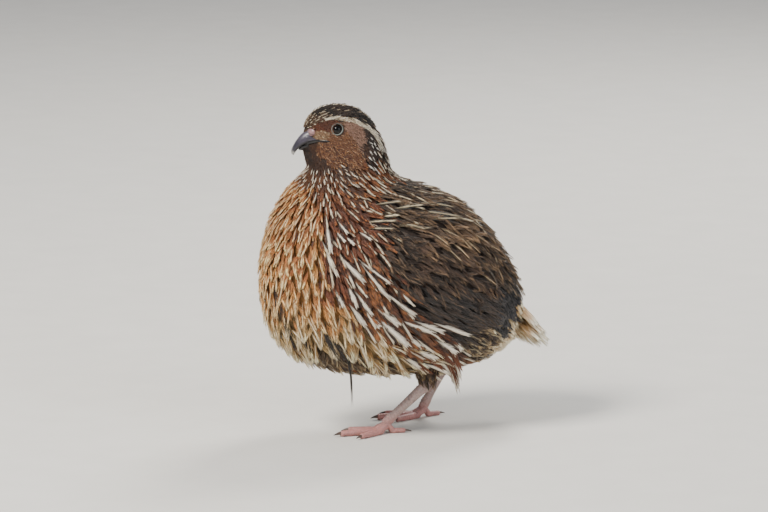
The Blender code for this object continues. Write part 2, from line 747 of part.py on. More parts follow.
def make_leg(side, joints, cutter, down, scales, horn):
    """Thigh, shank, foot and claws of one leg."""
    word = "left" if side > 0 else "right"
    heel, hock, hip = (Vector((LEG_X * side, y, z)) for y, z in joints)
    thigh_end = hock.lerp(hip, THIGH_END)
    thigh = tapered_tube(
        "thigh_" + word,
        [hip, hip.lerp(thigh_end, 0.5), thigh_end],
        [THIGH_RADII[0], (THIGH_RADII[0] + THIGH_RADII[1]) / 2, THIGH_RADII[1]],
        LEG_SIDES,
        down,
    )
    boolean(thigh, [cutter], "DIFFERENCE", keep=True)
    round_off(thigh)
    shank_up = (hock - heel).normalized()
    make_shank(word, heel, hock, shank_up, thigh_end, (hip - hock).normalized(), scales)
    make_foot(side, word, heel, shank_up, scales, horn)


def make_shank(word, heel, hock, along, thigh_end, rise, material):
    """The bare shank, from the top of the foot over the hock to the thigh."""
    points = [
        heel + along * SHANK_FOOT,
        heel + along * 0.0062,
        heel.lerp(hock, 0.45),
        heel.lerp(hock, 0.78),
        hock - along * 0.0016,
        thigh_end + rise * 0.0035,
    ]
    wide, slim = SHANK_RADII
    radii = [slim * 1.2, slim, slim, wide, HOCK_RADIUS, HOCK_RADIUS * 0.85]
    shank = tapered_tube("shank_" + word, points, radii, LEG_SIDES, material, SHANK_NARROW)
    cut_flat(shank, thigh_end - rise * GAP, rise)
    round_off(shank)


def make_foot(side, word, heel, shank_up, material, horn):
    """The foot: a pad under the shank and four toes, flat where they meet the ground."""
    pad = ellipsoid("foot_" + word, heel, (FOOT_PAD_RADIUS * 0.85, FOOT_PAD_RADIUS, FOOT_PAD_RADIUS))
    pad.data.materials.append(material)
    toes = []
    for label, degrees, length, radius in TOES:
        hind = label == "hind"
        angle = math.radians(degrees) * side
        ahead = Vector((math.sin(angle), -math.cos(angle), 0.0))
        level = radius * (1 - SOLE_SINK)
        root = heel - Vector((0.0, 0.0, 0.0004 if hind else 0.0012))
        knuckle = Vector((heel.x, heel.y, level))
        knuckle += ahead * (HIND_KNUCKLE_AHEAD if hind else KNUCKLE_AHEAD)
        tip = Vector((heel.x, heel.y, level)) + ahead * (length + HIND_KNUCKLE_AHEAD)
        slim = radius * TOE_TIP_RATIO
        points, radii = [root, knuckle], [radius * 1.1, radius]
        for share, swell in () if hind else TOE_PADS:
            points.append(knuckle.lerp(tip, share))
            radii.append((radius + (slim - radius) * share) * swell)
        points.append(tip)
        radii.append(slim)
        toes.append(tapered_tube("toe", points, radii, TOE_SIDES))
        make_claw(f"claw_{word}_{label}", tip, ahead, slim, horn)
    boolean(pad, toes, "UNION")
    cut_flat(pad, Vector((0.0, 0.0, 0.0)), Vector((0.0, 0.0, -1.0)))
    cut_flat(pad, heel + shank_up * (SHANK_FOOT - GAP), shank_up)
    round_off(pad)


def cut_flat(target, point, outward):
    """Cuts away what lies beyond a plane, and closes the cut with a flat face."""
    bm = bmesh.new()
    bm.from_mesh(target.data)
    geom = bm.verts[:] + bm.edges[:] + bm.faces[:]
    bmesh.ops.bisect_plane(bm, geom=geom, plane_co=point, plane_no=outward, clear_outer=True)
    bmesh.ops.holes_fill(bm, edges=[edge for edge in bm.edges if edge.is_boundary])
    bmesh.ops.recalc_face_normals(bm, faces=bm.faces)
    bm.to_mesh(target.data)
    bm.free()


def make_claw(name, tip, ahead, radius, material):
    """A short curved claw that starts clear of its toe and ends just off the ground."""
    start = tip + ahead * GAP + Vector((0.0, 0.0, radius * 0.15))
    middle = start + ahead * CLAW_LENGTH * 0.5 + Vector((0.0, 0.0, 0.0001))
    end = start + ahead * CLAW_LENGTH - Vector((0.0, 0.0, CLAW_DROP))
    radii = (radius * 0.62, radius * 0.42, radius * 0.12)
    claw = tapered_tube(name, [start, middle, end], radii, TOE_SIDES, material, floor=0.0002)
    round_off(claw)


def centre_on_ground():
    """Moves the whole bird so that the middle of its bounding box stands over the origin."""
    nodes = [o for o in bpy.context.scene.objects if not o.hide_render]
    corners = [v.co for node in nodes for v in node.data.vertices]
    middle = [(min(c[k] for c in corners) + max(c[k] for c in corners)) / 2 for k in (0, 1)]
    for node in nodes:
        node.data.transform(Matrix.Translation((-middle[0], -middle[1], 0.0)))


def main():
    """Clears the scene and builds the bird."""
    for old in list(bpy.data.objects):
        bpy.data.objects.remove(old)
    breast = paint("breast_plumage", (0.42, 0.25, 0.12), 0.85)
    hood = paint("head_plumage", (0.16, 0.08, 0.04), 0.85)
    mantle = paint("wing_plumage", (0.07, 0.05, 0.035), 0.85)
    pale = paint("pale_plumage", (0.62, 0.48, 0.33), 0.9)
    scales = paint("leg_skin", (0.45, 0.27, 0.25), 0.55)
    horn = paint("bill_horn", (0.10, 0.10, 0.12), 0.35)
    claws = paint("claw_horn", (0.16, 0.12, 0.10), 0.4)
    eye = paint("eye", (0.02, 0.012, 0.008), 0.08)
    draw = random.Random(SEED)

    head, eyes = make_head(hood)
    make_bill(head, horn)
    for name, seat in zip(("eye_left", "eye_right"), eyes):
        eye_ball(name, seat, EYE_RADIUS, eye)
    make_neck(hood)
    torso = torso_core(breast)
    tree = tree_of(torso)
    cutter = grown_copy(torso, GAP)
    feather_torso(torso, tree, draw)
    for side in (1, -1):
        make_wing(side, tree, cutter, mantle, draw)
    make_tail(cutter, pale, draw)
    make_leg(1, LEFT_LEG, cutter, pale, scales, claws)
    make_leg(-1, RIGHT_LEG, cutter, pale, scales, claws)
    bpy.data.objects.remove(cutter)
    centre_on_ground()


main()
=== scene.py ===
"""Coturnix quail, life size: its looks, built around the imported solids.

Units are metres and +Z is up. The bird faces -Y and turns its head to its right. Its form is a
loft through stations that are given with the head square to the body, about an origin on the
floor. Each feather is solid mesh that grows from that form: a shaft with barbs on both sides.
"""

from __future__ import annotations

import json
import logging
import math
from collections.abc import Callable
from dataclasses import dataclass
from enum import Enum

import bmesh
import bpy
import numpy as np
from mathutils import Matrix, Vector, kdtree

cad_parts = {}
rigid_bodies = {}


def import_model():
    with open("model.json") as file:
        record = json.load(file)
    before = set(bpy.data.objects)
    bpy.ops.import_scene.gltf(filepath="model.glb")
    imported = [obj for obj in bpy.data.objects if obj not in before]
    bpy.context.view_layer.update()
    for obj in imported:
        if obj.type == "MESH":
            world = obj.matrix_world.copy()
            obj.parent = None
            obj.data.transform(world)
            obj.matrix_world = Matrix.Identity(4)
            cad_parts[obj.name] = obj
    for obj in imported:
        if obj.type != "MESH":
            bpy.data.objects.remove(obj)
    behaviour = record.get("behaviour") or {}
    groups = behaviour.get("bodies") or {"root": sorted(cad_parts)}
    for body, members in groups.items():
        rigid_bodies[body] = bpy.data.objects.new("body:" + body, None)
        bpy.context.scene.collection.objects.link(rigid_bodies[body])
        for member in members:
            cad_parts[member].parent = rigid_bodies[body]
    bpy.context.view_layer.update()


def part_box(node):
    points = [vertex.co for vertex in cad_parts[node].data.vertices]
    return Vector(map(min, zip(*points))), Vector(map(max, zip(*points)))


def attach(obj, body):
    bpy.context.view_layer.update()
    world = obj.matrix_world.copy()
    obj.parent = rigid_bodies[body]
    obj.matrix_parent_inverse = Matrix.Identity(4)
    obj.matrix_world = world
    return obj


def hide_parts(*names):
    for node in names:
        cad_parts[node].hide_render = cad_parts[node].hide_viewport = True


LOG = logging.getLogger("quail")
MM = 0.001
SEED = 7

# Stations of the form, in millimetres, from the face to the rump: y and z of the front
# outline, y and z of the back outline, and half the width between them.
STATIONS = MM * np.array(
    (
        (-40.8, 140.4, -40.6, 148.4, 3.4),
        (-40.0, 136.8, -38.6, 153.8, 5.2),
        (-39.2, 133.6, -35.0, 157.5, 7.2),
        (-38.6, 131.2, -28.5, 160.2, 9.4),
        (-38.7, 129.3, -20.8, 160.3, 11.0),
        (-40.1, 127.2, -13.2, 157.8, 12.0),
        (-42.5, 124.7, -7.5, 152.3, 13.3),
        (-45.6, 121.5, -3.0, 144.0, 15.8),
        (-49.0, 117.2, -0.2, 134.2, 19.0),
        (-52.8, 111.5, 2.6, 126.8, 23.2),
        (-57.2, 102.0, 12.4, 121.3, 29.0),
        (-60.6, 88.0, 26.0, 116.5, 33.5),
        (-61.6, 72.0, 38.0, 110.0, 36.2),
        (-58.8, 56.5, 47.5, 102.0, 37.2),
        (-50.5, 44.0, 54.8, 92.8, 37.0),
        (-37.0, 35.5, 60.8, 83.8, 36.0),
        (-19.0, 30.5, 65.0, 75.6, 33.8),
        (2.0, 28.2, 67.8, 68.8, 30.2),
        (22.0, 28.2, 69.5, 63.0, 25.2),
        (39.0, 30.2, 70.0, 58.5, 19.2),
        (51.5, 33.8, 71.2, 54.5, 13.0),
        (60.0, 38.0, 71.5, 50.5, 7.2),
    )
)
LAST_STATION = len(STATIONS) - 1.0
FACE_TIP = (-0.0414, 0.1444)
RUMP_TIP = (0.0675, 0.0435)
BELLY_FULLNESS = 0.10

# The face narrows to the bill, between these heights and from there forwards.
PINCH = 0.60
PINCH_Y = (-0.0310, -0.0385)
PINCH_LOW = (0.1340, 0.1385)
PINCH_HIGH = (0.1535, 0.1485)

# The head turns to the right about the neck's upright axis, fading out down the neck.
HEAD_TURN = math.radians(-20)
NECK_AXIS_Y = -0.020
TURN_FADE = (7.0, 11.0)

# Folded wing, seen from the side, in millimetres: y and z of its middle line, half its
# breadth, and how far it stands out from the body.
WING_LINE = MM * np.array(
    (
        (-21.5, 96.5, 7.0, 0.8),
        (-13.0, 92.5, 14.0, 2.4),
        (0.0, 86.2, 17.5, 3.2),
        (14.0, 79.0, 18.5, 3.4),
        (27.0, 71.8, 17.5, 3.0),
        (38.0, 65.2, 14.5, 2.4),
        (46.0, 60.0, 9.5, 1.4),
    )
)
WING_SAMPLES = 60
# How far out from the middle the wing starts to rise, and where it has its full height.
WING_FROM_X = 0.008
WING_FULL_X = WING_FROM_X * 1.8

# The view from the front left that the chart of the plumage is drawn in.
VIEW_TURN = math.radians(70)
VIEW_RISE = math.radians(10)
VIEW_DISTANCE = 2.5
VIEW_WIDTH = 0.375
VIEW_AIM_HEIGHT = 0.085
SENSOR = 36.0

# Where the turned head lies on that chart: across and in depth, in millimetres.
HEAD_CHART = (1.2, 6.84)
# The left side's angles, and the cells in which points of the chart are sought there, where
# the form faces the view by at least this share.
SEEK_SIDE = (0.2, 2.94)
SEEK_CELLS = (220, 300)
FACING = 0.25

# Eye: its ball, how far round its middle no feather is rooted, and the lids' tilted oval.
EYE_RADIUS = 0.0033
EYE_CLEAR = 0.0040
LID_LEAN = (0.42, 0.91)
LID_STRETCH = 0.08

# Feathers: stations of a shaft, blades' triangles in one piece, and a tuft's size on the
# OFBake map.
PATH_STEPS = 6
PIECE_LIMIT = 190000
PATCH = 0.003


class Tract(Enum):
    """The tracts of the plumage, each with feathers of one kind."""

    FOREHEAD = "forehead"
    CROWN = "crown"
    BROW = "brow"
    MASK = "mask"
    LORE = "lore"
    CHEEK = "cheek"
    EAR = "ear"
    THROAT = "throat"
    CHAIN = "chain"
    NAPE = "nape"
    COLLAR = "collar"
    NECK = "neck"
    CHEST = "chest"
    SIDE = "side"
    BREAST = "breast"
    HEM = "hem"
    BELLY = "belly"
    FLANK = "flank"
    BOLD = "bold"
    SCAPULAR = "scapular"
    STRAY = "stray"
    MANTLE = "mantle"
    BACK = "back"
    WING = "wing"
    FLIGHT = "flight"
    VENT = "vent"
    RUMP = "rump"
    TAIL = "tail"
    COVERT = "covert"
    UNDERTAIL = "undertail"
    THIGH = "thigh"


def linear(code: str) -> np.ndarray:
    """Turns an sRGB hex colour to linear light.

    Args:
        code: six hex digits.

    Returns:
        Three linear values.
    """
    values = np.array([int(code[k : k + 2], 16) / 255 for k in (0, 2, 4)])
    return np.where(values <= 0.04045, values / 12.92, ((values + 0.055) / 1.055) ** 2.4)


def fade(value: np.ndarray, low: float, high: float) -> np.ndarray:
    """A smooth step from 0 at low to 1 at high.

    Args:
        value: what is measured.
        low: where the step starts.
        high: where it ends.

    Returns:
        The share of the step at each value.
    """
    part = np.clip((np.asarray(value, float) - low) / (high - low), 0.0, 1.0)
    return part * part * (3 - 2 * part)


def unit(vectors: np.ndarray) -> np.ndarray:
    """Vectors of the same directions with a length of one."""
    return vectors / np.maximum(np.linalg.norm(vectors, axis=-1, keepdims=True), 1e-12)


def blend_rows(rows: np.ndarray, place: np.ndarray) -> np.ndarray:
    """Rows of a table at places between its rows, on Catmull-Rom curves.

    Args:
        rows: the table.
        place: where to read it, counted in rows.

    Returns:
        One row for each place.
    """
    last = len(rows) - 1
    place = np.clip(place, 0, last)
    low = np.minimum(place.astype(int), last - 1)
    part = (place - low)[:, None]
    p, q, r, s = (rows[np.clip(low + k, 0, last)] for k in (-1, 0, 1, 2))
    bend = 2 * p - 5 * q + 4 * r - s
    return 0.5 * (2 * q + (r - p) * part + bend * part**2 + (3 * q - p - 3 * r + s) * part**3)


def grid(across: np.ndarray, down: np.ndarray) -> tuple[np.ndarray, np.ndarray]:
    """All pairs of two rows of places.

    Args:
        across: the places of the first row.
        down: the places of the second.

    Returns:
        The first and the second place of each pair.
    """
    first, second = np.meshgrid(across, down)
    return first.ravel(), second.ravel()


def toward(colour: np.ndarray, code: str, share: np.ndarray) -> np.ndarray:
    """Colours mixed towards one hex colour, each by its own share."""
    return colour + (linear(code) - colour) * share[..., None]


def tree_of(points: np.ndarray) -> kdtree.KDTree:
    """Sorts points for finding those near a place.

    Args:
        points: the points.

    Returns:
        Their tree.
    """
    tree = kdtree.KDTree(len(points))
    for k, point in enumerate(points):
        tree.insert(point, k)
    tree.balance()
    return tree


@dataclass
class Form:
    """The bird's form under its feathers: u runs round it from the back, v from the face.

    Args:
        shift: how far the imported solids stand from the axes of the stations.
    """

    shift: np.ndarray

    def square(self, u: np.ndarray, v: np.ndarray) -> np.ndarray:
        """Points of the form with the head square to the body.

        Args:
            u: angles round the form, 0 at the back and half a turn at the front.
            v: places among the stations.

        Returns:
            One point for each pair.
        """
        front_y, front_z, back_y, back_z, width = blend_rows(STATIONS, v).T
        across = width * np.sin(u) * (1 - BELLY_FULLNESS * np.cos(u))
        y = (front_y + back_y) / 2 + (back_y - front_y) / 2 * np.cos(u)
        z = (front_z + back_z) / 2 + (back_z - front_z) / 2 * np.cos(u)
        pinch = fade(y, *PINCH_Y) * fade(z, *PINCH_LOW) * fade(z, *PINCH_HIGH)
        return np.stack((across * (1 - PINCH * pinch), y, z), 1)

    def turn(self, points: np.ndarray, v: np.ndarray) -> np.ndarray:
        """Turns points of the square bird with its head, and shifts them to the solids.

        Args:
            points: points of the square bird.
            v: their places among the stations.

        Returns:
            The points in the part's own frame.
        """
        angle = HEAD_TURN * (1 - fade(v, *TURN_FADE))
        x, y = points[:, 0], points[:, 1] - NECK_AXIS_Y
        turned = np.stack(
            (
                np.cos(angle) * x - np.sin(angle) * y,
                np.sin(angle) * x + np.cos(angle) * y + NECK_AXIS_Y,
                points[:, 2],
            ),
            1,
        )
        return turned + self.shift

    def level(self, points: np.ndarray) -> np.ndarray:
        """Takes points of the turned head back to the square bird.

        Args:
            points: points in the part's own frame.

        Returns:
            Where they are with the head square to the body.
        """
        x, y, z = (points - self.shift - (0.0, NECK_AXIS_Y, 0.0)).T
        cos, sin = math.cos(HEAD_TURN), math.sin(HEAD_TURN)
        return np.stack((cos * x + sin * y, cos * y - sin * x + NECK_AXIS_Y, z), 1)

    def seek(self, chart: np.ndarray, low: float, high: float) -> tuple[np.ndarray, np.ndarray]:
        """Finds points of the chart on the left side of the form.

        Args:
            chart: the points.
            low: where to look from, among the stations.
            high: where to look to.

        Returns:
            An angle and a place among the stations for each point.
        """
        u, v = grid(np.linspace(*SEEK_SIDE, SEEK_CELLS[0]), np.linspace(low, high, SEEK_CELLS[1]))
        _, _, _, out = self.frames(u, v)
        seen = out[:, 0] * math.sin(VIEW_TURN) - out[:, 1] * math.cos(VIEW_TURN) > FACING
        u, v = u[seen], v[seen]
        places = self.chart(u, v)
        near = [np.linalg.norm(places - one, axis=1).argmin() for one in chart]
        return u[near], v[near]

    def wing_rise(self, points: np.ndarray) -> np.ndarray:
        """How far the folded wing lifts the form.

        Args:
            points: points of the square bird.

        Returns:
            The rise at each.
        """
        line = blend_rows(WING_LINE, np.linspace(0, len(WING_LINE) - 1, WING_SAMPLES))
        gap = np.hypot(points[:, 1:2] - line[:, 0], points[:, 2:3] - line[:, 1])
        share = 1 - (gap / line[:, 2]) ** 2
        rise = line[:, 3] * np.sqrt(np.clip(share, 0, 1))
        return rise.max(1) * fade(np.abs(points[:, 0]), WING_FROM_X, WING_FULL_X)

    def point(self, u: np.ndarray, v: np.ndarray) -> np.ndarray:
        """Points on the outer face of the form, with the wings' rise.

        Args:
            u: angles round the form.
            v: places among the stations.

        Returns:
            One point for each pair, in the part's own frame.
        """
        v = np.clip(v, 0.0, LAST_STATION)
        bare = self.square(u, v)
        rise = self.wing_rise(bare)
        step = 0.01
        round_it = self.square(u + step, v) - self.square(u - step, v)
        down_it = self.square(u, v + step) - self.square(u, v - step)
        out = unit(np.cross(round_it, down_it))
        return self.turn(bare + out * rise[:, None], v)

    def frames(self, u: np.ndarray, v: np.ndarray) -> tuple[np.ndarray, ...]:
        """Points with both tangents and the normal.

        Args:
            u: angles round the form.
            v: places among the stations.

        Returns:
            Points, tangents along u, tangents along v and normals that point out.
        """
        step_u, step_v = 0.02, 0.04
        v = np.clip(v, step_v, LAST_STATION - step_v)
        along_u = (self.point(u + step_u, v) - self.point(u - step_u, v)) / (2 * step_u)
        along_v = (self.point(u, v + step_v) - self.point(u, v - step_v)) / (2 * step_v)
        return self.point(u, v), along_u, along_v, unit(np.cross(along_u, along_v))

    def chart(self, u: np.ndarray, v: np.ndarray) -> np.ndarray:
        """Places on the chart of the plumage, in millimetres.

        The chart is the bird seen from its front left with the head in profile: across from
        the bird's middle, and up from the floor. Both sides of the bird share it.

        Args:
            u: angles round the form.
            v: places among the stations.

        Returns:
            Across and up for each pair.
        """
        x, y, z = (self.square(u, v) / MM).T
        x = np.abs(x)
        head = 1 - fade(v, *TURN_FADE)
        sideways, forward = math.cos(VIEW_TURN), math.sin(VIEW_TURN)
        body_across = sideways * x + forward * y
        body_depth = sideways * y - forward * x
        across = body_across * (1 - head) + (y + HEAD_CHART[0]) * head
        depth = body_depth * (1 - head) - (x + HEAD_CHART[1]) * head
        up = math.cos(VIEW_RISE) * z + math.sin(VIEW_RISE) * depth
        return np.stack((across, up), 1)


@dataclass(frozen=True)
class Anchor:
    """What the plumage is like at one place of the chart, in millimetres.

    Args:
        across: place on the chart.
        up: place on the chart.
        run: how far feathers lie towards the tail, against drop.
        drop: how far they lie downwards.
        length: a feather's length.
        width: its width.
        tract: its kind.
    """

    across: float
    up: float
    run: float
    drop: float
    length: float
    width: float
    tract: Tract


ANCHORS = (
    Anchor(-38.0, 149.5, 0.5, -0.9, 1.8, 0.9, Tract.FOREHEAD),
    Anchor(-34.0, 149.5, 0.9, -0.4, 2.0, 1.0, Tract.FOREHEAD),
    Anchor(-30.5, 151.0, 1.0, -0.2, 2.2, 1.1, Tract.FOREHEAD),
    Anchor(-33.0, 153.5, 0.9, -0.4, 2.6, 1.2, Tract.CROWN),
    Anchor(-26.0, 154.5, 1.0, -0.1, 3.0, 1.4, Tract.CROWN),
    Anchor(-18.5, 154.5, 1.0, 0.1, 3.8, 1.6, Tract.CROWN),
    Anchor(-10.5, 151.5, 0.8, 0.6, 4.4, 1.8, Tract.CROWN),
    Anchor(-0.5, 141.0, 0.4, 0.9, 5.0, 1.9, Tract.NAPE),
    Anchor(2.5, 134.0, 0.35, 0.95, 6.0, 2.2, Tract.NAPE),
    Anchor(-32.5, 146.0, 0.9, 0.1, 1.3, 0.8, Tract.LORE),
    Anchor(-28.8, 146.6, 1.0, 0.1, 1.4, 0.8, Tract.LORE),
    Anchor(-33.4, 142.6, 0.9, 0.3, 1.3, 0.8, Tract.MASK),
    Anchor(-30.2, 142.2, 0.9, 0.3, 1.4, 0.8, Tract.MASK),
    Anchor(-36.0, 139.0, 0.8, 0.6, 1.2, 0.8, Tract.THROAT),
    Anchor(-25.5, 141.0, 0.9, 0.45, 1.7, 1.0, Tract.CHEEK),
    Anchor(-20.0, 142.0, 0.9, 0.45, 2.0, 1.1, Tract.CHEEK),
    Anchor(-16.4, 144.8, 0.8, 0.4, 2.0, 1.0, Tract.EAR),
    Anchor(-19.0, 136.0, 0.8, 0.6, 2.3, 1.2, Tract.CHEEK),
    Anchor(-28.5, 135.5, 0.8, 0.55, 2.0, 1.1, Tract.CHEEK),
    Anchor(-25.0, 131.0, 0.7, 0.7, 2.4, 1.3, Tract.CHEEK),
    Anchor(-13.0, 143.6, 0.8, 0.5, 2.4, 1.1, Tract.EAR),
    Anchor(-13.5, 147.0, 0.8, 0.4, 2.2, 1.0, Tract.EAR),
    Anchor(-12.0, 140.0, 0.8, 0.6, 2.6, 1.1, Tract.EAR),
    Anchor(-9.0, 144.5, 0.6, 0.7, 2.4, 1.1, Tract.THROAT),
    Anchor(-9.8, 138.0, 0.5, 0.8, 2.6, 1.2, Tract.THROAT),
    Anchor(-16.5, 137.6, 0.7, 0.6, 2.4, 1.1, Tract.CHEEK),
    Anchor(-37.5, 136.0, 0.5, 0.8, 1.3, 0.8, Tract.THROAT),
    Anchor(-35.5, 131.5, 0.4, 0.9, 2.0, 1.1, Tract.THROAT),
    Anchor(-31.0, 128.2, 0.4, 0.9, 2.6, 1.2, Tract.THROAT),
    Anchor(-15.0, 131.0, 0.6, 0.8, 3.0, 1.4, Tract.CHEEK),
    Anchor(-36.0, 124.0, -0.1, 1.0, 4.0, 1.5, Tract.COLLAR),
    Anchor(-28.5, 123.0, 0.2, 1.0, 4.5, 1.6, Tract.COLLAR),
    Anchor(-20.0, 123.5, 0.5, 0.85, 4.5, 1.6, Tract.COLLAR),
    Anchor(-41.0, 117.0, -0.2, 1.0, 6.0, 2.1, Tract.CHEST),
    Anchor(-27.0, 115.0, 0.25, 1.0, 7.0, 2.4, Tract.NECK),
    Anchor(-14.0, 118.0, 0.6, 0.8, 7.5, 2.4, Tract.NECK),
    Anchor(-5.0, 124.0, 0.6, 0.8, 7.5, 2.4, Tract.NECK),
    Anchor(-47.0, 108.0, -0.2, 1.0, 8.5, 3.0, Tract.CHEST),
    Anchor(-36.0, 106.0, 0.05, 1.0, 8.5, 3.0, Tract.CHEST),
    Anchor(-22.0, 102.0, 0.35, 0.9, 9.0, 3.0, Tract.SIDE),
    Anchor(-11.0, 106.0, 0.6, 0.8, 9.0, 3.0, Tract.SIDE),
    Anchor(-23.0, 88.0, 0.3, 0.95, 10.0, 3.4, Tract.SIDE),
    Anchor(-12.0, 90.0, 0.5, 0.85, 10.0, 3.4, Tract.SIDE),
    Anchor(-21.0, 74.0, 0.4, 0.9, 11.0, 3.8, Tract.SIDE),
    Anchor(-54.0, 88.0, 0.0, 1.0, 10.0, 3.6, Tract.BREAST),
    Anchor(-36.0, 86.0, 0.1, 1.0, 10.5, 3.8, Tract.BREAST),
    Anchor(-54.0, 66.0, 0.05, 1.0, 11.0, 4.0, Tract.BREAST),
    Anchor(-38.0, 66.0, 0.15, 1.0, 11.0, 4.0, Tract.BREAST),
    Anchor(-28.0, 60.0, 0.3, 0.95, 12.0, 4.2, Tract.BREAST),
    Anchor(-52.0, 50.0, 0.1, 1.0, 12.0, 4.2, Tract.HEM),
    Anchor(-36.0, 46.0, 0.2, 1.0, 12.0, 4.2, Tract.HEM),
    Anchor(-20.0, 44.0, 0.4, 0.9, 13.0, 4.4, Tract.HEM),
    Anchor(-6.0, 38.0, 0.55, 0.85, 14.0, 4.4, Tract.HEM),
    # The belly's dark feathers under the breast's hem are painted shade, where the hem's shadow falls.
    Anchor(-30.0, 34.0, 0.3, 0.95, 12.0, 4.0, Tract.BELLY),
    Anchor(-26.0, 39.5, 0.3, 0.95, 11.0, 4.0, Tract.BELLY),
    Anchor(-15.0, 35.0, 0.4, 0.9, 11.0, 4.0, Tract.BELLY),
    Anchor(0.0, 26.0, 0.5, 0.8, 12.0, 4.0, Tract.BELLY),
    Anchor(-15.0, 77.0, 0.45, 0.85, 13.0, 4.4, Tract.FLANK),
    Anchor(-4.0, 64.0, 0.6, 0.8, 16.0, 4.8, Tract.FLANK),
    Anchor(8.0, 50.0, 0.7, 0.75, 18.0, 5.2, Tract.FLANK),
    Anchor(18.0, 42.0, 0.75, 0.7, 19.0, 5.6, Tract.FLANK),
    Anchor(26.0, 32.0, 0.6, 0.8, 19.0, 5.6, Tract.FLANK),
    Anchor(12.0, 30.0, 0.6, 0.8, 16.0, 5.0, Tract.HEM),
    Anchor(3.0, 116.0, 0.9, 0.5, 11.0, 3.8, Tract.MANTLE),
    Anchor(16.0, 111.0, 1.0, 0.35, 13.0, 4.2, Tract.MANTLE),
    Anchor(2.0, 103.0, 0.95, 0.45, 12.0, 3.8, Tract.MANTLE),
    Anchor(32.0, 107.0, 0.9, 0.5, 14.0, 4.4, Tract.MANTLE),
    Anchor(28.0, 97.0, 0.9, 0.5, 13.0, 4.4, Tract.BACK),
    Anchor(46.0, 94.0, 0.75, 0.75, 13.0, 4.4, Tract.BACK),
    Anchor(56.0, 80.0, 0.6, 0.85, 12.0, 4.4, Tract.BACK),
    Anchor(6.0, 88.0, 0.85, 0.55, 11.0, 4.2, Tract.WING),
    Anchor(18.0, 78.0, 0.85, 0.55, 12.0, 4.4, Tract.WING),
    Anchor(30.0, 82.0, 0.85, 0.6, 12.0, 4.4, Tract.WING),
    Anchor(44.0, 72.0, 0.8, 0.65, 12.0, 4.4, Tract.WING),
    Anchor(16.0, 60.0, 0.85, 0.5, 17.0, 4.6, Tract.FLIGHT),
    Anchor(30.0, 58.0, 0.9, 0.5, 18.0, 4.6, Tract.FLIGHT),
    Anchor(43.0, 61.0, 0.85, 0.5, 17.0, 4.6, Tract.FLIGHT),
    Anchor(41.0, 47.0, 0.85, 0.5, 12.0, 4.0, Tract.VENT),
    Anchor(48.0, 44.0, 0.85, 0.5, 11.0, 4.0, Tract.VENT),
    Anchor(44.0, 35.0, 0.8, 0.55, 11.0, 4.0, Tract.VENT),
    Anchor(51.0, 34.0, 0.8, 0.6, 9.0, 3.6, Tract.UNDERTAIL),
    Anchor(57.0, 42.0, 0.8, 0.6, 9.0, 3.6, Tract.UNDERTAIL),
    Anchor(56.0, 54.0, 0.7, 0.7, 9.0, 4.0, Tract.COVERT),
    Anchor(59.5, 60.0, 0.6, 0.8, 8.0, 4.0, Tract.COVERT),
    Anchor(56.0, 65.0, 0.6, 0.8, 9.0, 4.0, Tract.COVERT),
    Anchor(61.0, 67.0, 0.6, 0.8, 9.0, 4.0, Tract.COVERT),
    Anchor(60.0, 76.0, 0.55, 0.85, 10.0, 4.2, Tract.RUMP),
    Anchor(66.5, 61.0, 0.8, 0.6, 8.0, 4.0, Tract.UNDERTAIL),
    Anchor(67.5, 54.0, 0.8, 0.6, 8.0, 4.0, Tract.UNDERTAIL),
    Anchor(64.0, 47.0, 0.8, 0.6, 8.0, 4.0, Tract.UNDERTAIL),
)

# Bands of the head that stripes follow, on the chart, with their half width at each end.
BROW_LINE = (
    (-29.0, 149.5), (-26.5, 150.3), (-23.5, 150.6), (-16.6, 150.0), (-9.4, 147.4), (-4.0, 143.3),
    (-2.4, 138.6),
)
BROW_HALF = (0.5, 1.35)
CHAIN_LINE = ((-7.0, 142.0), (-6.0, 136.0), (-7.0, 129.0))
CHAIN_HALF = (1.3, 2.1)
CROWN_STRIPE = 0.8
# The mouth's line on the face, from the bill to its corner below the eye.
GAPE_LINE = ((-37.4, 138.3), (-35.2, 138.9), (-31.6, 139.3), (-27.6, 139.0), (-25.8, 138.6))
GAPE_RADII = (1.0, 0.8, 0.6, 0.4, 0.15)
GAPE_BARE = 0.6
# Bare windows of the chart at the bill's base: across up to, and up from and to. They and
# the mouth's line end at this station.
BARE_WINDOWS = ((-34.6, 138.4, 141.4), (-33.3, 141.2, 145.8))
FACE_END = 6
# The horn's edge above it, which narrows back into the face.
LIP_LINE = ((-38.2, 140.7), (-36.4, 140.5), (-34.8, 140.3), (-33.2, 140.0), (-32.0, 139.8))
LIP_RADII = (1.3, 1.25, 0.95, 0.5, 0.15)
LIP_RISE = 0.0003
# The middle of the swollen flap over the nostril, and how far it sinks in the face.
FLAP_SPOT = (-35.4, 143.7)
FLAP_SINK = 0.0005

# Bold feathers of each tract, on the chart: where the pale streak starts and ends, its width,
# and how far the feather hangs clear of the body.
# Those of the mantle and the shoulder:
BACK_ROWS = (
    (7.6, 107.3, 20.5, 110.6, 0.8, 0.1),
    (0.5, 103.0, 8.0, 104.2, 1.7, 0.1),
    (-8.0, 99.7, 2.6, 100.2, 0.7, 0.1),
    (16.6, 105.9, 35.5, 106.9, 0.7, 0.15),
    (12.0, 108.8, 26.0, 112.6, 0.6, 0.1),
    (21.0, 101.5, 36.0, 103.0, 0.7, 0.15),
    (-6.0, 96.0, 2.0, 94.5, 0.6, 0.1),
    (9.0, 98.0, 22.0, 98.4, 0.6, 0.1),
    (24.0, 109.5, 35.0, 109.0, 0.6, 0.15),
    (-3.0, 108.5, 6.5, 110.5, 1.1, 0.1),
)
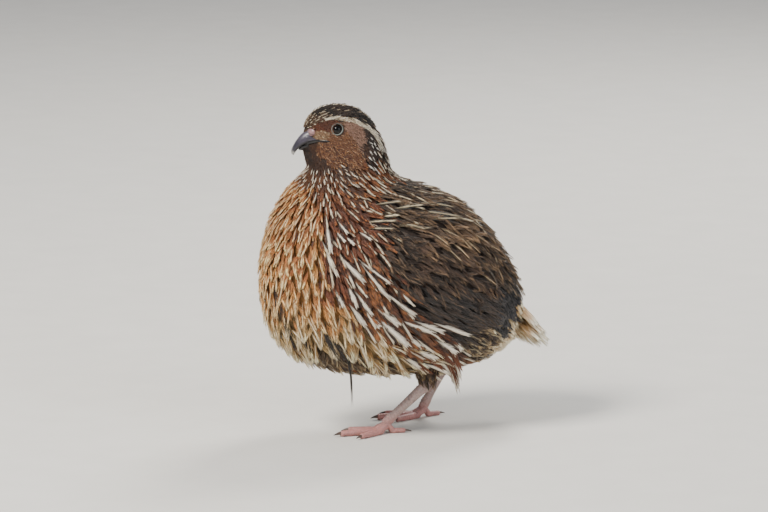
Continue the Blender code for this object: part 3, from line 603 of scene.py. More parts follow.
# Dark feathers of the lower breast, and the one that hangs under the belly:
STRAY_ROWS = (
    (-18.6, 38.0, -15.2, 23.0, 0.0, 0.95),
    (-50.5, 70.0, -47.5, 56.0, 0.0, 0.1),
    (-48.8, 60.0, -45.5, 46.0, 0.0, 0.1),
    (-46.0, 50.0, -43.0, 39.0, 0.0, 0.2),
    (-42.0, 47.0, -39.5, 39.0, 0.0, 0.2),
    (-39.0, 46.0, -36.5, 38.0, 0.0, 0.3),
    (-29.0, 46.0, -24.0, 35.0, 0.0, 0.3),
    (-25.0, 44.0, -20.0, 33.0, 0.0, 0.4),
)
# A feather that hangs at least as clear as this is on the left side only.
LEFT_ONLY = 0.9
# Those of the side and the flank, with the apron over the thigh:
SIDE_ROWS = (
    (22.0, 40.0, 33.0, 30.0, 0.0, 0.4),
    (26.0, 36.0, 36.0, 25.0, 0.0, 0.6),
    (28.0, 38.0, 37.5, 30.0, 0.0, 0.5),
    (20.0, 34.0, 30.0, 26.0, 0.0, 0.5),
    (22.0, 31.0, 31.5, 22.0, 0.0, 0.7),
    (12.0, 33.0, 21.0, 26.0, 0.0, 0.5),
    (31.0, 40.0, 38.0, 28.0, 0.0, 0.6),
    (15.0, 30.0, 25.0, 23.0, 0.0, 0.6),
    (-26.5, 97.0, -23.1, 86.2, 2.2, 0.1),
    (-20.9, 98.5, -17.5, 93.0, 1.4, 0.1),
    (-18.1, 92.4, -13.6, 88.5, 1.4, 0.1),
    (-22.0, 94.5, -18.6, 90.0, 1.2, 0.1),
    (-11.3, 94.0, -7.6, 90.4, 1.0, 0.1),
    (-28.2, 88.0, -23.7, 76.1, 2.1, 0.1),
    (-19.2, 80.6, -10.2, 69.4, 2.5, 0.1),
    (-9.4, 80.0, 3.4, 69.4, 1.0, 0.1),
    (-8.6, 76.7, 1.5, 64.6, 2.2, 0.1),
    (1.0, 65.5, 12.2, 54.9, 2.2, 0.1),
    (-22.6, 66.1, -19.8, 60.0, 1.8, 0.1),
    (-17.5, 69.4, -14.7, 61.6, 2.0, 0.1),
    (-13.0, 64.9, -6.9, 56.0, 2.2, 0.1),
    (-15.3, 58.8, -9.7, 51.5, 2.8, 0.2),
    (-4.6, 59.3, 5.0, 51.0, 2.6, 0.1),
    (-7.4, 54.3, -3.0, 49.6, 2.8, 0.2),
    (-0.7, 50.9, 9.9, 40.3, 3.2, 0.2),
    (9.4, 45.2, 17.2, 39.2, 2.6, 0.2),
    (10.0, 51.5, 24.5, 45.3, 2.4, 0.1),
    (17.2, 50.9, 31.2, 45.3, 3.0, 0.1),
    (23.9, 50.4, 37.4, 44.8, 2.2, 0.2),
    (26.7, 42.2, 35.7, 36.9, 3.4, 0.3),
    (32.3, 44.2, 37.9, 38.0, 2.4, 0.3),
    (14.4, 38.2, 25.6, 33.0, 3.4, 0.3),
    (9.9, 34.7, 17.2, 30.0, 2.8, 0.4),
    (30.1, 33.9, 38.0, 19.0, 3.2, 0.7),
    (19.4, 30.4, 30.1, 24.5, 3.2, 0.6),
    (25.5, 33.0, 34.8, 22.5, 3.0, 0.7),
    (16.7, 27.6, 24.5, 22.0, 2.6, 0.7),
    (33.0, 39.0, 39.4, 24.0, 1.8, 0.6),
    (31.0, 31.0, 38.0, 15.5, 2.6, 0.75),
    (27.0, 30.0, 36.0, 18.5, 0.0, 0.75),
    (29.0, 36.0, 38.6, 21.0, 0.0, 0.65),
    (23.0, 28.0, 31.0, 20.5, 0.0, 0.75),
)
BOLD = {Tract.BOLD: SIDE_ROWS, Tract.SCAPULAR: BACK_ROWS, Tract.STRAY: STRAY_ROWS}


@dataclass(frozen=True)
class Plume:
    """A kind of feather: its colours, its shape and how it stands.

    Args:
        web: colour of its web.
        other: the web's colour in other parts of the plumage.
        edge: colour of the web's edges, and beside a bold streak.
        tip: colour of its end.
        shaft: colour of the streak along its shaft.
        streak: width of the streak at its widest, in millimetres.
        gap: from one feather with a bold streak to the next, in millimetres; 0 for none.
        bar: colour of its cross bars.
        bars: how strong the bars are.
        bar_step: from bar to bar, in millimetres.
        tip_from: where along it the tip's colour starts.
        edge_from: where across it the edge's colour starts.
        barbs: barbs on each side of the shaft.
        blade: width of a barb, in millimetres.
        clump: how far damp barbs draw together.
        lock: from one lock of damp feathers to the next, in millimetres; 0 for none.
        pull: how far feathers draw together in a lock.
        lift: height of its root and its end over the form, in millimetres.
        free: how far it hangs clear of the form.
        unruly: how far its lie strays, in degrees.
        vary: how much its lightness varies.
        point: how pointed its end is.
        soft: how softly its bold streak ends, and how much streaks differ.
        stations: places of the rings along each barb, and of its tip.
    """

    web: str
    other: str
    edge: str
    tip: str
    shaft: str
    streak: float = 0.5
    gap: float = 0.0
    bar: str = "1d130d"
    bars: float = 0.0
    bar_step: float = 2.0
    tip_from: float = 0.8
    edge_from: float = 0.55
    barbs: int = 6
    blade: float = 0.6
    clump: float = 0.5
    lock: float = 0.0
    pull: float = 0.5
    lift: tuple[float, float] = (-0.4, 0.9)
    free: float = 0.12
    unruly: float = 8.0
    vary: float = 0.25
    point: float = 0.55
    soft: float = 0.65
    stations: tuple = (0.0, 0.5, 1.0)

    def paint(
        self, s: np.ndarray, t: np.ndarray, length: np.ndarray, dice: np.ndarray, streak: np.ndarray
    ) -> np.ndarray:
        """Colours of points on feathers.

        Args:
            s: places along the feathers, 0 at the root.
            t: places across them, -1 to 1.
            length: the feathers' lengths.
            dice: three values for each point: of its barb, of its feather and of its part of
                the plumage.
            streak: width of the feather's bold streak as a share of its own, or 0. Dark edges
                go with it.

        Returns:
            A linear colour for each point.
        """
        colour = toward(linear(self.web), self.other, dice[..., 2])
        edge = fade(np.abs(t), self.edge_from, self.edge_from + 0.3)
        edge = np.maximum(edge, 0.75 * (streak > 0) * fade(s, 0.95, 0.75))
        colour = toward(colour, self.edge, edge)
        if self.bars:
            wave = np.sin(2 * math.pi * (s * length / (self.bar_step * MM) + dice[..., 1]))
            colour = toward(colour, self.bar, self.bars * fade(wave + 0.25 * np.abs(t), 0.0, 0.7))
        tip = fade(s + 0.3 * (dice[..., 0] - 0.5), self.tip_from, self.tip_from + 0.18)
        colour = toward(colour, self.tip, tip)
        light = 1 + self.vary * (dice[..., 0] + 0.6 * dice[..., 1] + 0.8 * dice[..., 2] - 1.2)
        colour = colour * light[..., None]
        drop = streak * (0.45 + 0.55 * fade(s, 0.15, 0.7)) + 1e-3
        pale = fade(np.abs(t) / drop, 1.0, 1 - self.soft) * (streak > 0)
        pale = pale * fade(s, 0.10, 0.35) * (1 - 0.8 * self.soft * dice[..., 1])
        colour = toward(colour, self.shaft, pale)
        return colour * (1 - 0.5 * fade(s, 0.55, 0.1))[..., None]


# How light the skin is beside the feathers over it, where it isn't as elsewhere. In these
# tracts it is lighter: painted light that softens the deep shade in the gaps between feathers.
SKIN_LIGHT = 0.32
SKIN_SHARE = {
    Tract.UNDERTAIL: 0.85,
    Tract.BROW: 0.6,
    Tract.MANTLE: 0.6,
    Tract.BACK: 0.6,
    Tract.WING: 0.65,
    Tract.FLIGHT: 0.6,
}
HEAD_LIFT = (-0.2, 0.3)
LONG_BARBS = (0.0, 0.42, 0.78, 1.0)
PLUMES = {
    Tract.FOREHEAD: Plume(
        "4a3322", "7a5a3e", "2e1c10", "86684a", "e6d8ba", 0.6, 1.15, barbs=2, blade=0.32,
        lift=HEAD_LIFT, clump=0.2, vary=0.4,
    ),
    Tract.MASK: Plume(
        "94714f", "5c3d28", "4d3320", "b5946e", "dcc6a2", 0.5, 1.5, barbs=2, blade=0.32,
        lift=HEAD_LIFT, clump=0.2, vary=0.6,
    ),
    Tract.CROWN: Plume(
        "17100a", "2c1d12", "0e0905", "463321", "c7b292", 0.5, 3.0, barbs=3, blade=0.36,
        tip_from=0.85, lift=(-0.25, 1.0), clump=0.4, unruly=14, vary=0.5,
    ),
    Tract.BROW: Plume(
        "ecdfc4", "bfa680", "c3aa84", "f3ead6", "faf4e6", 0.5, 1.4, barbs=2, blade=0.34,
        lift=(-0.2, 0.6), clump=0.3, vary=0.3,
    ),
    Tract.LORE: Plume(
        "5d2c11", "713a1a", "4a210c", "7c431f", "8f5a33", 0.2, 2.5, barbs=1, blade=0.36,
        lift=(-0.15, 0.15), vary=0.4,
    ),
    Tract.CHEEK: Plume(
        "7d4a28", "4c2813", "3b1e0d", "a57449", "c9a37b", 0.26, 1.9, barbs=2, blade=0.34,
        lift=HEAD_LIFT, clump=0.2, vary=0.7,
    ),
    Tract.EAR: Plume(
        "93705c", "85614e", "6d4c3b", "a5836e", "b5947e", 0.2, 2.4, barbs=2, blade=0.32,
        lift=HEAD_LIFT, clump=0.2, vary=0.2,
    ),
    Tract.THROAT: Plume(
        "22130a", "3a2010", "140a05", "45280f", "7f5736", 0.2, 2.6, barbs=2, blade=0.34,
        lift=HEAD_LIFT, clump=0.2, vary=0.5,
    ),
    Tract.CHAIN: Plume(
        "23150c", "3a2212", "150b06", "2c1c10", "f4eee2", 1.3, 1.9, barbs=2, blade=0.4,
        lift=(-0.2, 0.6), vary=0.2,
    ),
    Tract.NAPE: Plume(
        "2a1a10", "5b3a21", "120a05", "6d4c30", "ecdfc6", 1.2, 2.0, barbs=5, blade=0.36,
        lift=(-0.3, 1.2), unruly=12, vary=0.4,
    ),
    Tract.COLLAR: Plume(
        "6b3e20", "3a2112", "1b0f08", "8b5c37", "efe4cf", 0.95, 1.65, barbs=4, blade=0.34,
        lift=(-0.3, 0.8), unruly=12, lock=2.4, pull=0.3, vary=0.5,
    ),
    Tract.NECK: Plume(
        "7d451f", "3f2211", "180d07", "a06433", "efe2c6", 1.25, 2.4, barbs=6, blade=0.38,
        lift=(-0.3, 1.0), unruly=11, lock=3.0, pull=0.35, vary=0.5,
    ),
    Tract.CHEST: Plume(
        "be7f42", "8c5125", "7a4519", "e8bc80", "f1dab0", 1.0, 2.4, barbs=6, blade=0.4,
        lift=(-0.4, 1.1), clump=0.6, unruly=11, lock=3.2, pull=0.4, vary=0.5,
    ),
    Tract.SIDE: Plume(
        "733a18", "43210f", "150c07", "8f5226", "e9dabb", 1.3, 3.9, barbs=7, blade=0.44,
        lift=(-0.4, 1.1), clump=0.5, unruly=10, lock=3.6, pull=0.35, vary=0.5,
    ),
    Tract.BREAST: Plume(
        "d0914b", "97592a", "8f5525", "f0cb92", "f1dbae", 1.1, 3.1, barbs=8, blade=0.38,
        tip_from=0.72, lift=(-0.4, 1.4), clump=0.8, unruly=13, lock=4.6, pull=0.55, vary=0.6,
    ),
    Tract.HEM: Plume(
        "ddb97f", "a57a42", "8f6834", "f3e0b8", "f6e8ca", 1.0, 3.4, barbs=8, blade=0.36,
        tip_from=0.7, lift=(-0.4, 1.8), free=0.5, clump=0.85, unruly=17, lock=5.2, pull=0.6,
        vary=0.6,
    ),
    # Dark brown under the breast's hem: painted shade of the hem's shadow.
    Tract.BELLY: Plume(
        "735b40", "4a3929", "33271c", "a58c66", "cdb994", 0.5, 4.0, barbs=7, blade=0.34,
        lift=(-0.4, 1.4), free=0.35, clump=0.85, unruly=20, lock=5.0, pull=0.6, vary=0.6,
    ),
    Tract.FLANK: Plume(
        "5e2f13", "8f562a", "140c06", "8a5429", "eee3cb", 1.6, 5.2, bar="140c06", bars=0.75,
        bar_step=5.0, barbs=9, blade=0.5, edge_from=0.7, tip_from=0.9, lift=(-0.4, 1.4), free=0.2,
        clump=0.5, unruly=8, lock=4.5, pull=0.3, vary=0.4, stations=LONG_BARBS,
    ),
    Tract.BOLD: Plume(
        "7a3f1a", "5a2b11", "120a05", "8f4f22", "f0e6d2", 1.0, 0.1, bar="140c06", bars=0.45,
        bar_step=7.0, barbs=12, blade=0.5, edge_from=0.8, tip_from=0.95, lift=(0.2, 2.0),
        clump=0.35, unruly=2, vary=0.25, point=0.42, soft=0.25, stations=LONG_BARBS,
    ),
    Tract.SCAPULAR: Plume(
        "2a1e15", "3f2e20", "120c08", "5d4630", "ecd9b0", 0.8, 0.1, barbs=9, blade=0.45,
        lift=(0.2, 1.8), clump=0.4, unruly=2, vary=0.3,
    ),
    Tract.STRAY: Plume(
        "1f1610", "18110c", "0e0a07", "33261b", "4a3a2c", 0.4, 0.1, barbs=9, blade=0.34,
        lift=(0.5, 1.9), clump=0.4, unruly=3, vary=0.4, point=0.35,
    ),
    Tract.MANTLE: Plume(
        "2b2018", "4a3828", "140e09", "75593c", "e9d8b4", 0.9, 5.5, bar="7d5f3e", bars=0.4,
        bar_step=2.4, barbs=10, blade=0.36, lift=(-0.4, 1.6), unruly=13, lock=5.0, pull=0.4, vary=0.7,
    ),
    Tract.BACK: Plume(
        "38291e", "59432f", "1c140e", "927351", "cdb68e", 0.5, 6.0, bar="8a6b4a", bars=0.45,
        bar_step=2.2, barbs=10, blade=0.32, lift=(-0.4, 2.4), free=0.35, clump=0.75, unruly=24,
        lock=5.0, pull=0.45, vary=0.7,
    ),
    Tract.WING: Plume(
        "33251c", "463327", "1e150f", "775c41", "94775a", 0.3, 6.0, bar="634b36", bars=0.4,
        bar_step=2.0, barbs=12, blade=0.27, lift=(-0.4, 1.5), clump=0.7, unruly=22, lock=4.0,
        pull=0.35, vary=0.8,
    ),
    Tract.FLIGHT: Plume(
        "1d1612", "2f241c", "0e0a08", "3d2e23", "6b5644", 0.3, 5.0, bar="5a4431", bars=0.2,
        bar_step=3.0, barbs=9, blade=0.5, clump=0.25, lift=(-0.4, 1.5), unruly=5, vary=0.4,
    ),
    Tract.VENT: Plume(
        "4a3524", "2c1e14", "1a110a", "a58a60", "dcc79e", 0.55, 4.0, bar="1c130c", bars=0.4,
        bar_step=3.0, barbs=7, blade=0.42, lift=(-0.4, 1.6), free=0.25, clump=0.75, unruly=14,
        lock=4.5, pull=0.5, vary=0.6,
    ),
    Tract.RUMP: Plume(
        "3a3029", "574636", "1b1614", "8a7358", "a99272", 0.4, 6.0, bar="6a5a48", bars=0.35,
        bar_step=2.4, barbs=9, blade=0.36, lift=(-0.4, 2.6), free=0.4, clump=0.75, unruly=22,
        lock=5.0, pull=0.45, vary=0.6,
    ),
    Tract.TAIL: Plume(
        "edca98", "d8a86c", "f2dcb4", "f9eed6", "fcf6e8", 0.4, 0.1, barbs=22, blade=0.66,
        tip_from=0.6, clump=0.35, lift=(0, 0.6), unruly=8, vary=0.2, point=0.28,
    ),
    Tract.COVERT: Plume(
        "1b191c", "2c2a2e", "100f11", "55504d", "6f6965", 0.3, 6.0, bar="40393a", bars=0.25,
        bar_step=3.0, barbs=9, blade=0.45, tip_from=0.85, clump=0.7, lift=(-0.4, 1.4), unruly=12,
        lock=4.5, pull=0.45, vary=0.5,
    ),
    Tract.UNDERTAIL: Plume(
        "e4c89a", "cca672", "b9935f", "f3e4c4", "f6eedb", 0.3, 3.5, barbs=7, blade=0.42,
        tip_from=0.6, lift=(-0.4, 1.6), free=0.3, clump=0.7, unruly=14, lock=4.0, pull=0.4, vary=0.3,
    ),
    Tract.THIGH: Plume(
        "3b2a1c", "5b452d", "1c130b", "8a6f4a", "b79c70", 0.4, 3.0, barbs=5, blade=0.34,
        lift=(-0.2, 0.5), clump=0.6, unruly=14, vary=0.5,
    ),
}


@dataclass
class Quills:
    """The shafts of many feathers, each as a path with its side and up directions.

    Args:
        path: points along each shaft.
        side: the direction across the feather at each.
        up: the direction out of it at each.
        length: lengths.
        width: widths.
        root: places of the roots on the unwrapped form.
        mood: where their part of the plumage is between the kind's two colours.
        streak: width of each one's bold streak, or 0 for none.
    """

    path: np.ndarray
    side: np.ndarray
    up: np.ndarray
    length: np.ndarray
    width: np.ndarray
    root: np.ndarray
    mood: np.ndarray
    streak: np.ndarray

    def at(self, s: np.ndarray, table: np.ndarray) -> np.ndarray:
        """Values of a table of stations at places along the feathers.

        Args:
            s: places, one row for each feather.
            table: the values at each station of each feather.

        Returns:
            The values between the stations, and past the last one in line with it.
        """
        scaled = s * (PATH_STEPS - 1)
        low = np.clip(scaled.astype(int), 0, PATH_STEPS - 2)
        part = (scaled - low)[..., None]
        rows = np.arange(len(table)).reshape((-1,) + (1,) * (s.ndim - 1))
        return table[rows, low] * (1 - part) + table[rows, low + 1] * part


@dataclass
class Blades:
    """Barbs and streaks as closed, pointed blades: rings of three corners, and a tip.

    Args:
        corners: their points.
        colours: their linear colours.
        patches: their places in the OFBake map.
    """

    corners: np.ndarray
    colours: np.ndarray
    patches: np.ndarray

    @staticmethod
    def faces(count: int, rings: int) -> np.ndarray:
        """The triangles of a number of blades, by their corners.

        Args:
            count: how many blades.
            rings: rings of each.

        Returns:
            Three corners for each triangle.
        """
        end, tip = 3 * rings - 3, 3 * rings
        one = [(0, 1, 2), (end, tip, end + 1), (end + 1, tip, end + 2), (end + 2, tip, end)]
        for a in range(0, end, 3):
            for p, q in ((a, a + 1), (a + 1, a + 2), (a + 2, a)):
                one += [(p, p + 3, q + 3), (p, q + 3, q)]
        return (np.array(one)[None] + (tip + 1) * np.arange(count)[:, None, None]).reshape(-1, 3)


class Feathers:
    """Grows feathers of one kind from their shafts."""

    # Where the first barb leaves the shaft and over what share of it the others do, how long
    # the first is, how much shorter the last, and where across damp barbs draw together.
    FIRST_BARB = 0.14
    BARBED = 0.74
    BARB_REACH = 0.46
    BARB_SHORTER = 0.20
    CLUMPS = (0.15, 0.5, 0.9)
    # Widths of a barb and of a streak at these shares of their length.
    TAPER_AT = (0.0, 0.45, 0.8)
    BARB_TAPER = (0.6, 1.0, 0.75)
    STREAK_TAPER = (0.35, 0.85, 1.0)
    # Thickness of a blade, in millimetres, and how much a broader one is thicker.
    THICKNESS = 0.09
    THICKER = 0.22

    def __init__(self, plume: Plume, draw: np.random.Generator) -> None:
        """Keeps the kind of feather and the source of random values."""
        self.plume = plume
        self.draw = draw

    def envelope(self, s: np.ndarray) -> np.ndarray:
        """Half the feather's width at places along it, as a share of the most."""
        s = np.clip(s, 0.0, 1.0)
        return 1.25 * s**0.35 * (1 - s) ** self.plume.point

    def barb_lines(self, count: int) -> tuple[np.ndarray, np.ndarray, np.ndarray]:
        """Where barbs run in their feathers.

        Args:
            count: how many feathers.

        Returns:
            Places along, across, and heights in millimetres, for the stations of each barb.
        """
        kind, draw = self.plume, self.draw
        many = 2 * kind.barbs
        order = np.tile((np.arange(kind.barbs) + 0.5) / kind.barbs, 2)[None]
        hand = np.repeat((-1.0, 1.0), kind.barbs)[None]
        start = self.FIRST_BARB + self.BARBED * order + draw.uniform(-0.03, 0.03, (count, many))
        reach = self.BARB_REACH - self.BARB_SHORTER * order
        reach = reach * draw.uniform(0.85, 1.25, (count, many))
        end = np.minimum(start + reach, 1.0 + 0.06 * draw.random((count, many)))
        out = self.envelope(np.minimum(end, 0.97)) * draw.uniform(0.8, 1.15, (count, many))
        clumps = np.array(self.CLUMPS)[None, None] * draw.uniform(0.8, 1.2, (count, 1, 3))
        near = np.abs(out[..., None] - clumps).argmin(-1)
        target = np.take_along_axis(np.repeat(clumps, many, 1), near[..., None], -1)[..., 0]
        out += kind.clump * (target - out)
        part = np.array(kind.stations)[None, None]
        along = start[..., None] + (end - start)[..., None] * part**1.1
        across = (hand * out)[..., None] * (1 - (1 - part) ** 1.7)
        rough = draw.normal(0.0, 0.14, (count, many, 1)) * part
        height = rough - 0.25 * np.abs(across) ** 2
        return along, across, height

    def grow(self, quills: Quills) -> Blades:
        """Grows the barbs and streaks of feathers.

        Args:
            quills: the feathers' shafts.

        Returns:
            The blades' corners, colours and places in the OFBake map.
        """
        kind, draw = self.plume, self.draw
        count = len(quills.path)
        along, across, height = self.barb_lines(count)
        part = np.array(kind.stations)
        last = len(part) - 1
        middle_row = (count, 1, last + 1)
        along = np.concatenate((along, np.broadcast_to(0.03 + 0.97 * part, middle_row)), 1)
        across = np.concatenate((across, np.zeros(middle_row)), 1)
        height = np.concatenate((height, np.full(middle_row, 0.14)), 1) * MM
        share = quills.streak / quills.width
        half = kind.blade * MM / 2 * draw.uniform(0.7, 1.3, (count, along.shape[1]))
        solid = quills.streak * (0.44 - 0.2 * kind.soft)
        half[:, -1] = np.maximum(solid, self.THICKNESS * MM) * draw.uniform(0.75, 1.2, count)
        taper = np.empty((*half.shape, last))
        taper[:] = np.interp(part[:last], self.TAPER_AT, self.BARB_TAPER)
        taper[:, -1] = np.interp(part[:last], self.TAPER_AT, self.STREAK_TAPER)

        middle = quills.at(along, quills.path)
        side = quills.at(along, quills.side)
        up = unit(quills.at(along, quills.up))
        reach = (quills.width / 2)[:, None, None, None]
        line = middle + side * across[..., None] * reach + up * height[..., None]
        ahead = unit(np.gradient(line, axis=2)[:, :, :last])
        right = unit(np.cross(ahead, up[:, :, :last]))
        top = np.cross(right, ahead)
        spread = right * (half[..., None] * taper)[..., None]
        ridge = top * (self.THICKNESS * MM + self.THICKER * half[..., None] * taper)[..., None]
        base = line[:, :, :last]
        rings = np.stack((base - spread, base + spread, base + ridge), 3)
        corners = np.concatenate((rings.reshape(count, -1, 3 * last, 3), line[:, :, last:]), 2)

        dice = np.empty((*along.shape, 3))
        dice[..., 0] = draw.random(along.shape[:2])[..., None]
        dice[..., 1] = draw.random((count, 1, 1))
        dice[..., 2] = quills.mood[:, None, None]
        length = np.broadcast_to(quills.length[:, None, None], along.shape)
        colour = kind.paint(along, across, length, dice, share[:, None, None])
        colour[:, -1] *= np.where(share > 0, 1.0, 0.8)[:, None, None]
        each = np.concatenate((np.repeat(colour[:, :, :last], 3, 2), colour[:, :, last:]), 2)
        local = np.stack((across, along - 0.5), -1) * PATCH
        local[..., 0] *= 0.5
        patch = np.concatenate((np.repeat(local[:, :, :last], 3, 2), local[:, :, last:]), 2)
        patch = patch + quills.root[:, None, None]
        return Blades(corners.reshape(-1, 3), each.reshape(-1, 3), patch.reshape(-1, 2))


class Plumage:
    """Lays feathers over the form, tract by tract, and joins them in pieces."""

    # Places that are tried, the share of a feather's area that its root keeps to itself, how
    # far the anchors blur, in square millimetres, and how sharply tracts part on the body,
    # half as sharply as on the head.
    CANDIDATES = 90000
    OVERLAP = 0.078
    BLUR = 3.0
    SHARP = 1.6

    def __init__(self, form: Form, eyes: list[Vector]) -> None:
        """Keeps the form and finds where feathers are rooted.

        Args:
            form: the form under the feathers.
            eyes: the middles of both eyes.
        """
        self.form = form
        self.eyes = np.array(eyes)
        self.draw = np.random.default_rng(SEED)
        places = np.linspace(0, LAST_STATION, 200)
        middle = self.form.square(np.full(200, math.pi / 2), places)
        run = np.concatenate(([0], np.cumsum(np.linalg.norm(np.diff(middle, axis=0), axis=1))))
        self.unwrap = (places, run / run[-1])
        self.waves = self.draw.normal(0, 0.22 / MM, (9, 3))
        self.phases = self.draw.uniform(0, 2 * math.pi, 9)

    def mood(self, points: np.ndarray) -> np.ndarray:
        """A value from 0 to 1 that drifts over the plumage, for points of it."""
        return 0.5 + 0.5 * np.tanh(1.1 * np.sin(points @ self.waves.T + self.phases).sum(1) / 1.6)

    @staticmethod
    def spread(points: np.ndarray, radius: np.ndarray) -> np.ndarray:
        """Chooses points in their order, none nearer to a chosen one than its own radius.

        Args:
            points: the points.
            radius: how far each keeps from those before it.

        Returns:
            Whether each is chosen.
        """
        tree = tree_of(points)
        taken = np.zeros(len(points), bool)
        for k, point in enumerate(points):
            if not any(taken[other] for _, other, _ in tree.find_range(point, radius[k])):
                taken[k] = True
        return taken

    def nature(self, u: np.ndarray, v: np.ndarray) -> tuple[np.ndarray, np.ndarray]:
        """What the plumage is like at places of the form.

        Args:
            u: angles round the form.
            v: places among the stations.

        Returns:
            Run, drop, length and width for each place, and the number of its tract.
        """
        chart = self.form.chart(u, v)
        spots = np.array([(one.across, one.up) for one in ANCHORS])
        facts = np.array([(one.run, one.drop, one.length, one.width) for one in ANCHORS])
        kinds = np.array([list(Tract).index(one.tract) for one in ANCHORS])
        gap = ((chart[:, None] - spots[None]) ** 2).sum(-1)
        weight = 1 / (gap + self.BLUR) ** 2
        weight /= weight.sum(1, keepdims=True)
        mixed = weight @ facts
        sharp = self.SHARP * (2 - fade(v, 5, 8))
        rough = np.log(weight) * sharp[:, None] + self.draw.gumbel(0, 1, weight.shape)
        kind = kinds[rough.argmax(1)]
        x = np.abs(self.form.square(u, v)[:, 0]) / MM
        for line, half, tract, low in (
            (BROW_LINE, BROW_HALF, Tract.BROW, 2.5),
            (CHAIN_LINE, CHAIN_HALF, Tract.CHAIN, 4.0),
        ):
            far, share = self.from_line(chart, np.array(line))
            near = (far < half[0] + (half[1] - half[0]) * share) & (x > low) & (v < 9)
            kind = np.where(near, list(Tract).index(tract), kind)
        crown = kind == list(Tract).index(Tract.CROWN)
        stripe = crown & (x < CROWN_STRIPE) & (chart[:, 1] > 150)
        kind = np.where(stripe, list(Tract).index(Tract.BROW), kind)
        return mixed, kind

    def from_line(self, chart: np.ndarray, line: np.ndarray) -> tuple[np.ndarray, np.ndarray]:
        """How far places of the chart are from a line, and how far along it.

        Args:
            chart: the places.
            line: the line's points.

        Returns:
            Distances in millimetres and shares of the line.
        """
        best = np.full(len(chart), np.inf)
        share = np.zeros(len(chart))
        for k, (a, b) in enumerate(zip(line, line[1:])):
            part = np.clip((chart - a) @ (b - a) / ((b - a) @ (b - a)), 0, 1)
            far = np.linalg.norm(chart - a - part[:, None] * (b - a), axis=1)
            share = np.where(far < best, (k + part) / (len(line) - 1), share)
            best = np.minimum(far, best)
        return best, share

    def bare(self, u: np.ndarray, v: np.ndarray, points: np.ndarray) -> np.ndarray:
        """Finds bare places: the eyes, the bill's base and the mouth, and under the tail's root.

        Args:
            u: angles round the form.
            v: places among the stations.
            points: the points there.

        Returns:
            Whether each place is bare.
        """
        bare = v > LAST_STATION - 0.5
        for eye in self.eyes:
            bare |= np.linalg.norm(points - eye, axis=1) < EYE_CLEAR
        chart = self.form.chart(u, v)
        across, up = chart.T
        face = v < FACE_END
        for edge, low, high in BARE_WINDOWS:
            bare |= (across < edge) & (up > low) & (up < high) & face
        gape, share = self.from_line(chart, np.array(GAPE_LINE))
        return bare | (gape < GAPE_BARE * (1 - 0.7 * share)) & face

    def roots(self) -> tuple[np.ndarray, ...]:
        """Spreads the feathers' roots over the form, closer where feathers are small.

        Returns:
            Angles, places among the stations, nature and tract of each root.
        """
        cells_u, cells_v = 120, 260
        u = (np.arange(cells_u) + 0.5) / cells_u * 2 * math.pi
        v = (np.arange(cells_v) + 0.5) / cells_v * LAST_STATION
        grid_u, grid_v = grid(u, v)
        _, along_u, along_v, _ = self.form.frames(grid_u, grid_v)
        area = np.linalg.norm(np.cross(along_u, along_v), axis=1)
        mixed, _ = self.nature(grid_u, grid_v)
        chance = area / (mixed[:, 2] * mixed[:, 3])
        pick = self.draw.choice(len(chance), self.CANDIDATES, p=chance / chance.sum())
        u = grid_u[pick] + self.draw.uniform(-0.5, 0.5, len(pick)) * 2 * math.pi / cells_u
        v = grid_v[pick] + self.draw.uniform(-0.5, 0.5, len(pick)) * LAST_STATION / cells_v
        points = self.form.point(u, v)
        mixed, kind = self.nature(u, v)
        keep = ~self.bare(u, v, points)
        u, v, points, mixed, kind = (part[keep] for part in (u, v, points, mixed, kind))
        radius = np.sqrt(self.OVERLAP * mixed[:, 2] * mixed[:, 3]) * MM
        taken = self.spread(points, radius)
        u, v, points, mixed, kind = (part[taken] for part in (u, v, points, mixed, kind))
        gaps = np.array([PLUMES[tract].gap for tract in Tract])[kind] * MM
        widths = np.array([PLUMES[tract].streak for tract in Tract])[kind] * MM
        marked = self.spread(points, gaps) & (gaps > 0)
        widths = widths * self.draw.uniform(0.6, 1.3, len(widths))
        return u, v, mixed, kind, np.where(marked, widths, 0.0)

    def bold(self, table: tuple) -> dict:
        """Places bold feathers on both sides.

        Args:
            table: their rows on the chart.

        Returns:
            The arguments of trace for them.
        """
        rows = np.array(table)
        start, end = rows[:, :2], rows[:, 2:4]
        reach = end - start
        u, v = self.form.seek(start - 0.35 * reach, 5.0, 20.0)
        run = reach[:, 0] / math.sin(VIEW_TURN)
        drop = -(reach[:, 1] / math.cos(VIEW_RISE) - 0.06 * run)
        far = 1.4 * np.hypot(run, drop)
        paired = rows[:, 5] < LEFT_ONLY
        broad = np.maximum(np.where(paired, 4.4, 2.0), 2.5 * rows[:, 4])
        nature = np.stack((run, drop, far, broad), 1)
        parts = (v, nature, rows[:, 4] * MM, rows[:, 5])
        both = [np.concatenate((part, part[paired])) for part in parts]
        sides = np.concatenate((u, 2 * math.pi - u[paired]))
        return {"u": sides, "v": both[0], "nature": both[1], "streak": both[2], "free": both[3]}

